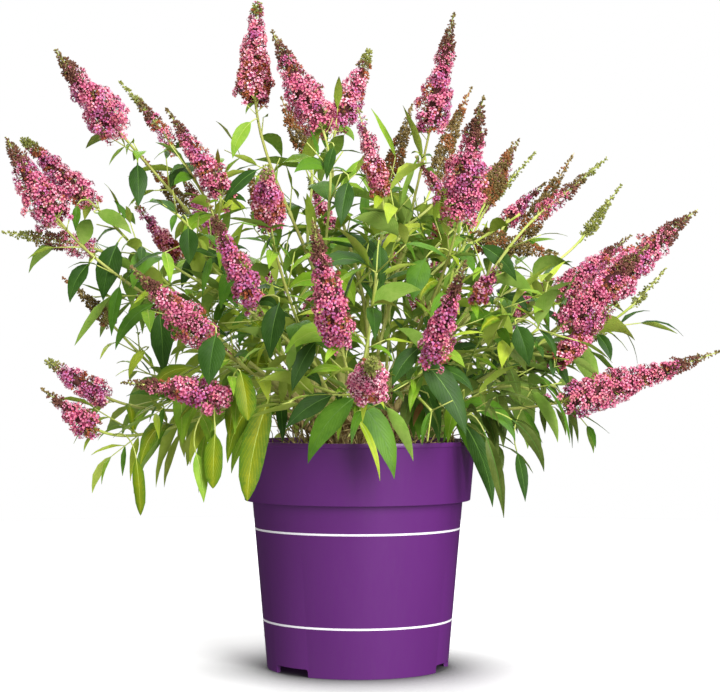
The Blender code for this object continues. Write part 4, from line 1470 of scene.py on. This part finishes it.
foliage = Foliage()
leaf_twigs = Heap()
draw = random.Random(47)
stem_points = [point for mass in masses for shoot in mass.shoots for point in shoot.fine.points]
filled = Heap()
for row in FRONT_LEAVES:
    filled.add(*add_front_leaf(*row, stem_points, foliage, leaf_twigs, draw))
front_leaves = filled.tree()
for mass in masses[:len(FRONT_SPIKES)]:
    for spike in mass.spikes:
        filled.add(*spike_shape(spike.foot, spike.along, spike.length, spike.girth * SPIKE_HEART))
shown = filled.tree()
for mass in masses:
    for leaf in mass.leaves:
        fine = leaf.shoot.fine
        root = fine.at(leaf.share * fine.length)[0]
        youth = leaf.share if leaf.shoot.spike else leaf.share * LEAFY_YOUTH
        tint = tint_of(root, youth, draw)
        shrink = SPIKE_LEAF_SHRINK * max(0, leaf.share - 0.5) / 0.5 if leaf.shoot.spike else 0
        light = FORWARD if root.y < FRONT_LIGHT else -FORWARD
        slimness = SKIRT_SLIMNESS if root.z < SKIRT_HEIGHT[1] else 1
        for size in SIZES_TO_TRY:
            length = leaf.length * LONG_SHARE * (1 - shrink) * size
            course = (root, leaf.out, length, leaf.droop + BLADE_SAG)
            line, swing, _ = leaf_line(*course)
            body = outer_shape(root, leaf.out, length, leaf.droop, leaf.roll)
            spoils = BVHTree.FromPolygons(*body).overlap(front_leaves) or covers(line, shown)
            if not (spoils or is_kept_bare(line[-1]) or is_shed(leaf)):
                roll = leaf.roll + LIGHT_TURN * turn_to_face(line[-1] - root, swing, light)
                half_width = draw.uniform(*LONG_HALVES) * slimness
                foliage.add(*course, roll, LONG_BLADE, half_width, tint, draw)
                break

for solid in solids:
    filled.add(solid.verts, solid.faces)
crowd = filled.tree()
taken = set()
for mass in masses:
    grow_axil_twigs(mass, foliage, leaf_twigs, crowd, shown, taken, draw)

for tint, heap in foliage.uppers.items():
    edge = TURNING_EDGE if tint == "turning" else None
    finish = leaf_finish(f"leaf_{tint}", LEAF_TINTS[tint], 0.46, edge)
    heap.piece(f"leaves_{tint}", finish, "foliage", foliage_nodes)
for tint, heap in foliage.unders.items():
    finish = leaf_finish(f"underside_{tint}", UNDERSIDE_TINTS[tint], 0.75)
    heap.piece(f"undersides_{tint}", finish, "foliage", foliage_nodes)


def stem_finish(name, shades):
    """Smooth green skin with fine lengthwise lines, duller where it ages."""
    finish = Finish(name)
    lines = finish.grain(300, 3, (3, 3, 0.4))
    colour = finish.two_tone(finish.grain(40, 2) * 0.7 + lines * 0.3, shades, 0.35)
    return finish.dress(colour, 0.42 + lines * 0.2, lines, 0.0003, 0.6)


young_stem = stem_finish("young_stem", STEM_COLOURS)
for tint, heap in foliage.ribs.items():
    heap.piece(f"leaf_ribs_{tint}", stem_finish(f"rib_{tint}", RIB_TINTS[tint]), "foliage", foliage_nodes)
leaf_twigs.piece("leaf_twigs", young_stem, "foliage", foliage_nodes)
leaders = Heap()
side_shoots = Heap()
for mass in masses:
    for shoot in mass.shoots:
        joints = [share for share, _ in shoot.joints]
        heap = side_shoots if shoot.fork else leaders
        heap.add(*shoot.fine.shape(FINE_STEM_SIDES, joint_swell(joints, shoot.fine.length)))
leaders.piece("leaders", stem_finish("leader_skin", LEADER_COLOURS), "foliage", foliage_nodes)
side_shoots.piece("side_shoots", young_stem, "foliage", foliage_nodes)

# The flower spikes: long cones of small clusters, ring over ring round a stalk. Each flower is a thin
# tube that opens into four round lobes. They open from the foot up, so the tip is still in bud, and old
# spikes dry to brown seed cases.

FLOWER_RADIUS = 0.0039
BUD_RADIUS = 0.0021
FULLNESS = (
    (0, 0.70), (0.05, 0.92), (0.12, 1.0), (0.30, 0.88),
    (0.50, 0.66), (0.70, 0.42), (0.88, 0.20), (1, 0.05),
)
SPIKE_SLIMNESS = 0.92
SPIKE_SWAY = 0.06
SPIKE_STALK = 0.0011
CLUSTER_STALK = (0.0005, 0.0004)
CORE_GIRTH = 0.21
DOME_SPREAD = 82
RAGGEDNESS = 0.14
BLUNT_AGES = ("fresh", "fading")
BLUNTNESS = 0.84

# How each stage of flower stands: the step between rings, the room of a cluster round the ring, the
# radius of its dome, and the area of the dome that one flower takes
STAGES = {
    "open": (0.0078, 0.0098, 0.0052, 2.9e-5),
    "opening": (0.0068, 0.0080, 0.0042, 2.1e-5),
    "spent": (0.0068, 0.0085, 0.0046, 1.1e-5),
    "dark_bud": (0.0046, 0.0058, 0.0030, 7.0e-6),
    "olive_bud": (0.0044, 0.0056, 0.0028, 7.0e-6),
    "green_bud": (0.0044, 0.0054, 0.0026, 6.5e-6),
    "seed_case": (0.0050, 0.0057, 0.0034, 7.5e-6),
}

# How the flowers stand at each height of a spike, by its age: from each share up, what most of them are
AGES = {
    "bloom": ((0, "open"), (0.54, "opening"), (0.64, "dark_bud"), (0.86, "olive_bud")),
    "fresh": ((0, "open"), (0.66, "opening"), (0.76, "olive_bud"), (0.84, "green_bud")),
    "fading": ((0, "spent"), (0.40, "open"), (0.78, "opening"), (0.88, "green_bud")),
    "young": ((0, "opening"), (0.30, "dark_bud"), (0.50, "olive_bud"), (0.64, "green_bud")),
    "green": ((0, "green_bud"),),
    "brown": ((0, "seed_case"),),
}
AGE_BLUR = 0.05
LOOSE_AGES = ("young", "green", "brown")
FALLEN = 0.10
STRAY_CLUSTERS = 7
STRAY_REACH = (-0.16, 0.03)
STRAY_DOME = (0.0026, 2.2e-5)

# The tints of petals: which share of a spike's flowers has each, by the spike's age
PETAL_TINTS = {
    "pink": ((210, 100, 136), (230, 138, 166)),
    "salmon": ((218, 118, 132), (236, 154, 160)),
    "pale": ((228, 148, 172), (240, 182, 198)),
    "blush": ((244, 176, 190), (252, 212, 216)),
    "violet": ((184, 92, 146), (210, 128, 176)),
}
PETAL_SHARES = {
    "bloom": (("pink", 0.60), ("salmon", 0.26), ("pale", 0.14)),
    "fresh": (("pink", 0.34), ("salmon", 0.18), ("pale", 0.30), ("blush", 0.18)),
    "fading": (("salmon", 0.30), ("pink", 0.30), ("pale", 0.16), ("blush", 0.24)),
    "young": (("salmon", 0.5), ("pink", 0.5)),
}
VIOLET_PATCH = 0.14
VIOLET_SHARE = 0.75
EYE_SHARE = 0.25
RUSTY_PATCH = 0.40
RUSTY_SPENT = 0.7
RUSTY_CASE = 0.15
SPIKE_VARIETY = 0.8
STILL_FRESH = 0.42
FLOWER_PART_TINTS = {
    "petal_hearts": ((158, 46, 88), (192, 74, 116)),
    "flower_tubes": ((96, 34, 44), (132, 58, 70)),
    "flower_eyes": ((196, 84, 44), (226, 128, 66)),
    "spent_flowers": ((152, 80, 52), (192, 116, 76)),
}
BUD_TINTS = {
    "dark_bud": ((94, 58, 46), (134, 90, 74)),
    "olive_bud": ((98, 84, 46), (136, 116, 74)),
    "green_bud": ((112, 120, 50), (152, 154, 82)),
    "seed_case": ((98, 80, 42), (144, 124, 76)),
    "rusty_case": ((132, 80, 46), (168, 112, 68)),
}
# The core stands in for the stalks and calyxes deep in a spike: dark partly as their own maroon and partly
# as painted shade among the clusters
CORE_TINTS = ((78, 42, 42), (104, 62, 54))


def ring_points(corners):
    """Points from radius, angle in degrees and height."""
    return [
        (radius * math.cos(math.radians(angle)), radius * math.sin(math.radians(angle)), height)
        for radius, angle, height in corners
    ]


def four_times(corners, faces):
    """The same shape at each quarter turn."""
    points = []
    copied = []
    for quarter in range(4):
        first = len(points)
        points += ring_points([(radius, angle + 90 * quarter, height) for radius, angle, height in corners])
        copied += [tuple(first + corner for corner in face) for face in faces]
    return np.array(points), np.array(copied)


# The forms of one flower, facing up, in units of its radius
HEART_FORM = four_times(
    ((0.15, -42, -0.10), (0.15, 42, -0.10), (0.50, 29, 0.05), (0.50, -29, 0.05)), ((0, 3, 2, 1),)
)
LOBE_FORM = four_times(
    (
        (0.50, -29, 0.05), (0.55, 0, 0.09), (0.50, 29, 0.05),
        (0.88, 24, 0.0), (1.04, 0, -0.05), (0.88, -24, 0.0),
    ),
    ((0, 5, 4, 1), (1, 4, 3, 2)),
)
TUBE_FORM = four_times(((0.16, 0, -0.04), (0.16, 90, -0.04), (0.10, 45, -1.3)), ((0, 1, 2),))
EYE_FORM = (
    np.array(ring_points([(0.16, angle, -0.07) for angle in (45, 135, 225, 315)])),
    np.array(((0, 1, 2, 3),)),
)
BUD_FORM = four_times(
    ((0, 0, -1.0), (0.50, 0, 0.15), (0.50, 90, 0.15), (0, 0, 0.75)), ((0, 2, 1), (1, 2, 3))
)
WITHERED_FORM = four_times(
    ((0.16, -40, -0.6), (0.16, 40, -0.6), (0.52, 34, 0.1), (0.74, 0, 0.22), (0.52, -34, 0.1)),
    ((0, 4, 3), (0, 3, 1), (1, 3, 2)),
)
PART_FORMS = {
    "petal_hearts": HEART_FORM,
    "flower_tubes": TUBE_FORM,
    "flower_eyes": EYE_FORM,
    "spent_flowers": WITHERED_FORM,
}


class Flowers:
    """Flowers of one form, gathered as arrays: where each is, which way it faces and how wide it opens."""

    def __init__(self, form):
        self.form = form
        self.places = []
        self.facings = []
        self.sizes = []
        self.spreads = []

    def add(self, place, facing, size, spread=1):
        self.places.append(tuple(place))
        self.facings.append(tuple(facing))
        self.sizes.append(size)
        self.spreads.append(spread)

    def piece(self, name, finish, smooth=False):
        """All the flowers as one mesh, each with its own spin."""
        facings = np.array(self.facings)
        count = len(facings)
        spin = np.random.default_rng(5).uniform(0, math.tau, count)
        helper = np.where(np.abs(facings[:, 2:3]) < 0.9, [[0.0, 0.0, 1.0]], [[1.0, 0.0, 0.0]])
        first = np.cross(facings, helper)
        first /= np.linalg.norm(first, axis=1, keepdims=True)
        second = np.cross(facings, first)
        cos, sin = np.cos(spin)[:, None], np.sin(spin)[:, None]
        frames = np.stack((first * cos + second * sin, second * cos - first * sin, facings), axis=2)
        corners, faces = self.form
        local = np.repeat(corners[None], count, axis=0)
        spread = np.array(self.spreads)[:, None]
        local[..., 2] += (1 - spread) * np.hypot(local[..., 0], local[..., 1]) * 1.1
        local[..., :2] *= spread[..., None]
        points = np.einsum("nij,nvj->nvi", frames, local) * np.array(self.sizes)[:, None, None]
        points += np.array(self.places)[:, None, :]
        shift = np.arange(count)[:, None, None] * len(corners)
        mesh = bpy.data.meshes.new(name)
        mesh.from_pydata(points.reshape(-1, 3), [], (faces[None] + shift).reshape(-1, faces.shape[1]))
        place_mesh(mesh, finish, "foliage", foliage_nodes, smooth)


def fullness(share, age):
    """How full a spike is at a share of its length. Fresh and fading ones have blunt tips."""
    share = max(0, share) * (BLUNTNESS if age in BLUNT_AGES else 1)
    for (low, thin), (high, thick) in zip(FULLNESS, FULLNESS[1:]):
        if share <= high:
            return thin + (thick - thin) * (share - low) / (high - low)
    return FULLNESS[-1][1]


def stage_at(age, share):
    stage = AGES[age][0][1]
    for start, name in AGES[age]:
        if share >= start:
            stage = name
    return stage


def pick(shares, draw):
    chance = draw.random()
    for name, share in shares:
        chance -= share
        if chance <= 0:
            return name
    return shares[0][0]


class Blossom:
    """The heaps that flowers of every kind are gathered into."""

    def __init__(self):
        self.lobes = {tint: Flowers(LOBE_FORM) for tint in PETAL_TINTS}
        self.parts = {name: Flowers(form) for name, form in PART_FORMS.items()}
        self.buds = {kind: Flowers(BUD_FORM) for kind in BUD_TINTS}
        self.stalks = Heap()
        self.dry_stalks = Heap()
        self.cores = Heap()

    def add_flower(self, place, facing, stage, age, draw):
        """One flower. Patches of a spike, and some spikes more than others, lean to violet or to rust."""
        violet = noise.noise(place * 55) + SPIKE_VARIETY * noise.noise(place * 13 + UP * 4)
        rust = noise.noise(place * 70 + UP * 9) + SPIKE_VARIETY / 2 * noise.noise(place * 11 + UP * 7)
        size = FLOWER_RADIUS * draw.uniform(0.82, 1.14)
        if stage in ("open", "opening") and rust > RUSTY_PATCH:
            stage = "spent" if draw.random() < RUSTY_SPENT else "olive_bud"
        elif stage == "spent" and draw.random() < STILL_FRESH:
            stage = "open"
        if stage in ("open", "opening"):
            is_open = stage == "open"
            spread = draw.uniform(0.84, 1.0) if is_open else draw.uniform(0.5, 0.85)
            size *= 1 if is_open else 0.8
            tint = pick(PETAL_SHARES[age], draw)
            if violet > VIOLET_PATCH and draw.random() < VIOLET_SHARE:
                tint = "violet"
            self.lobes[tint].add(place, facing, size, spread)
            self.parts["petal_hearts"].add(place, facing, size, spread)
            self.parts["flower_tubes"].add(place, facing, size)
            if draw.random() < EYE_SHARE:
                self.parts["flower_eyes"].add(place, facing, size)
        elif stage == "spent":
            self.parts["spent_flowers"].add(place, facing, size * 0.85, draw.uniform(0.6, 0.9))
        else:
            kind = "rusty_case" if stage == "seed_case" and rust > RUSTY_CASE else stage
            self.buds[kind].add(place, facing, BUD_RADIUS * draw.uniform(0.75, 1.25), draw.uniform(0.8, 1.2))

    def add_spike(self, spike, draw):
        """Rings of clusters from foot to tip round a gently swaying stalk, and strays below its foot."""
        side = spike.along.orthogonal().normalized()
        across = spike.along.cross(side)
        sway = circling(side, across, draw.uniform(0, math.tau)) * spike.length * SPIKE_SWAY

        def middle(share):
            return spike.foot + spike.along * spike.length * share + sway * (share * share - share * 0.4)

        stalks = self.dry_stalks if spike.age == "brown" else self.stalks
        line = [middle(i / 8) for i in range(9)]
        stalks.add(*tube(line, [SPIKE_STALK * (1 - 0.09 * i) for i in range(9)], 5))
        # A dark core inside the spike: its stalks and calyxes, in part their own maroon and in part painted
        # shade
        if spike.age not in LOOSE_AGES:
            heights = [0.04 + 0.09 * i for i in range(9)]
            radii = [spike.girth * CORE_GIRTH * fullness(height, spike.age) for height in heights]
            self.cores.add(*tube([middle(height) for height in heights], radii, 8))
        share = 0.01
        while share < 1:
            stage = stage_at(spike.age, share)
            step, room, dome, area = STAGES[stage]
            radius = spike.girth / 2 * SPIKE_SLIMNESS * fullness(share, spike.age)
            dome = min(dome, max(radius * 0.6, 0.0012))
            around = max(3, round(math.tau * radius * 0.85 / room))
            turn = draw.uniform(0, math.tau)
            for place in range(around):
                if spike.age in LOOSE_AGES and draw.random() < FALLEN:
                    continue
                angle = turn + math.tau * (place + draw.uniform(-0.25, 0.25)) / around
                out = circling(side, across, angle)
                here = min(1, share + draw.uniform(-0.5, 0.5) * step / spike.length)
                centre = middle(here) + out * max(0, radius * (1 + draw.gauss(0, RAGGEDNESS)) - dome)
                stalks.add(*tube([middle(here - 0.02), centre], CLUSTER_STALK, 3))
                lean = (out + spike.along * 0.45).normalized()
                self.add_cluster(centre, lean, dome, area, here, spike, draw)
            share += step / spike.length
        for _ in range(STRAY_CLUSTERS if spike.girth > 0.024 else 3):
            here = draw.uniform(*STRAY_REACH)
            out = circling(side, across, draw.uniform(0, math.tau))
            centre = middle(here) + out * spike.girth * draw.uniform(0.18, 0.36) + spike.along * 0.006
            stalks.add(*tube([middle(here - 0.02), centre], CLUSTER_STALK, 3))
            lean = (out + spike.along * 0.3).normalized()
            self.add_cluster(centre, lean, *STRAY_DOME, 0, spike, draw)

    def add_cluster(self, centre, lean, dome, area, share, spike, draw):
        """Flowers all over the outer side of a small dome."""
        wide = 1 - math.cos(math.radians(DOME_SPREAD))
        count = max(2, round(math.tau * dome * dome * wide / area))
        side = lean.orthogonal().normalized()
        across = lean.cross(side)
        turn = draw.uniform(0, math.tau)
        for i in range(count):
            height = 1 - wide * (i + 0.5) / count
            flat = math.sqrt(1 - height * height)
            angle = turn + i * math.tau * GOLDEN_TURN
            facing = lean * height + circling(side, across, angle) * flat
            facing = (facing + Vector([draw.gauss(0, 0.14) for _ in range(3)])).normalized()
            stage = stage_at(spike.age, share + draw.gauss(0, AGE_BLUR))
            self.add_flower(centre + facing * dome * draw.uniform(0.8, 1.1), facing, stage, spike.age, draw)


def petal_finish(name, shades, roughness):
    """Soft thin petal skin in two shades, with a fine velvety relief."""
    finish = Finish(name, 0.2)
    fine = finish.grain(700, 2)
    colour = finish.two_tone(finish.grain(90, 3) * 0.6 + fine * 0.4, shades)
    return finish.dress(colour, roughness - 0.06 + fine * 0.12, fine, 0.0002, 0.5)


blossom = Blossom()
draw = random.Random(83)
for mass in masses:
    for shoot in mass.shoots:
        if shoot.spike:
            blossom.add_spike(shoot.spike, draw)
for tint, shades in PETAL_TINTS.items():
    blossom.lobes[tint].piece(f"petals_{tint}", petal_finish(f"petal_{tint}", shades, 0.6))
for name, heap in blossom.parts.items():
    heap.piece(name, petal_finish(name, FLOWER_PART_TINTS[name], 0.7))
for kind, heap in blossom.buds.items():
    heap.piece(f"{kind}s", petal_finish(kind, BUD_TINTS[kind], 0.7), smooth=True)
core_finish = petal_finish("spike_cores", CORE_TINTS, 0.8)
blossom.cores.piece("spike_cores", core_finish, "foliage", foliage_nodes)
blossom.stalks.piece("spike_stalks", young_stem, "foliage", foliage_nodes)
blossom.dry_stalks.piece("dry_spike_stalks", straw, "foliage", foliage_nodes)

# The studio: a seamless white floor under broad soft light, its colour darkened near the pot as a painted
# contact shadow, with the camera low and level with the crown's lower leaves.

CAMERA_TILT = 91.161
CAMERA_LENS = 93
CAMERA_SENSOR = 36
FLOOR_RADIUS = 2.0
PAPER_GREYS = (0.90, 0.93)
AMBIENT = 0.58
MIRRORED = 0.03
LIT_HEIGHT = 0.32
LIGHTS = {
    "key": ((1.30, -2.55, 1.45), (1.2, 2.5), 144),
    "top": ((0.0, 0.6, 2.8), (3.0, 3.0), 60),
    "back": ((-0.8, 2.6, 1.4), (2.0, 2.0), 45),
}

bpy.ops.object.select_all(action="DESELECT")
bpy.ops.mesh.primitive_circle_add(vertices=96, radius=FLOOR_RADIUS, fill_type="NGON")
floor = bpy.context.object
floor.name = "floor"
floor.visible_diffuse = False
floor.visible_glossy = False
finish = Finish("floor")
# The floor's colour turns near black where the AO node finds the pot or leaves close by: a painted contact
# shadow
painted_shadow_openness = finish.node("ShaderNodeAmbientOcclusion", {"samples": 8}, {"Distance": 0.12}, "AO")
paper = finish.mix(finish.grain(3), *((grey, grey, grey, 1) for grey in PAPER_GREYS))
finish.feed("Base Color", finish.mix(finish.between(painted_shadow_openness, 0.42, 1.0), (0.10, 0.10, 0.10, 1), paper))
finish.feed("Roughness", 0.9)
floor.data.materials.append(finish.material)

# White to look at, dimmer as a light, and dimmest where glossy things mirror it
world = bpy.data.worlds.new("studio")
sky = Nodes(world, "Background")
seen, mirrored = (sky.node("ShaderNodeLightPath", {}, {}, f"Is {ray} Ray") for ray in ("Camera", "Glossy"))
sky.feed("Color", (1, 1, 1, 1))
sky.feed("Strength", seen * (1 - AMBIENT) + mirrored * (MIRRORED - AMBIENT) + AMBIENT)
bpy.context.scene.world = world

for name, (place, size, power) in LIGHTS.items():
    light = bpy.data.lights.new(name, "AREA")
    light.shape = "RECTANGLE"
    light.size, light.size_y = size
    light.energy = power
    lamp = bpy.data.objects.new(name, light)
    lamp.location = place
    aim = Vector((0, 0, LIT_HEIGHT)) - lamp.location
    lamp.rotation_euler = aim.to_track_quat("-Z", "Y").to_euler()
    bpy.context.scene.collection.objects.link(lamp)

camera = bpy.data.objects.new("camera", bpy.data.cameras.new("camera"))
camera.location = VIEWER
camera.rotation_euler = (math.radians(CAMERA_TILT), 0, 0)
camera.data.lens = CAMERA_LENS
camera.data.sensor_width = CAMERA_SENSOR
camera.data.clip_start = 0.05
bpy.context.scene.collection.objects.link(camera)
bpy.context.scene.camera = camera
bpy.context.scene.view_settings.view_transform = "Standard"
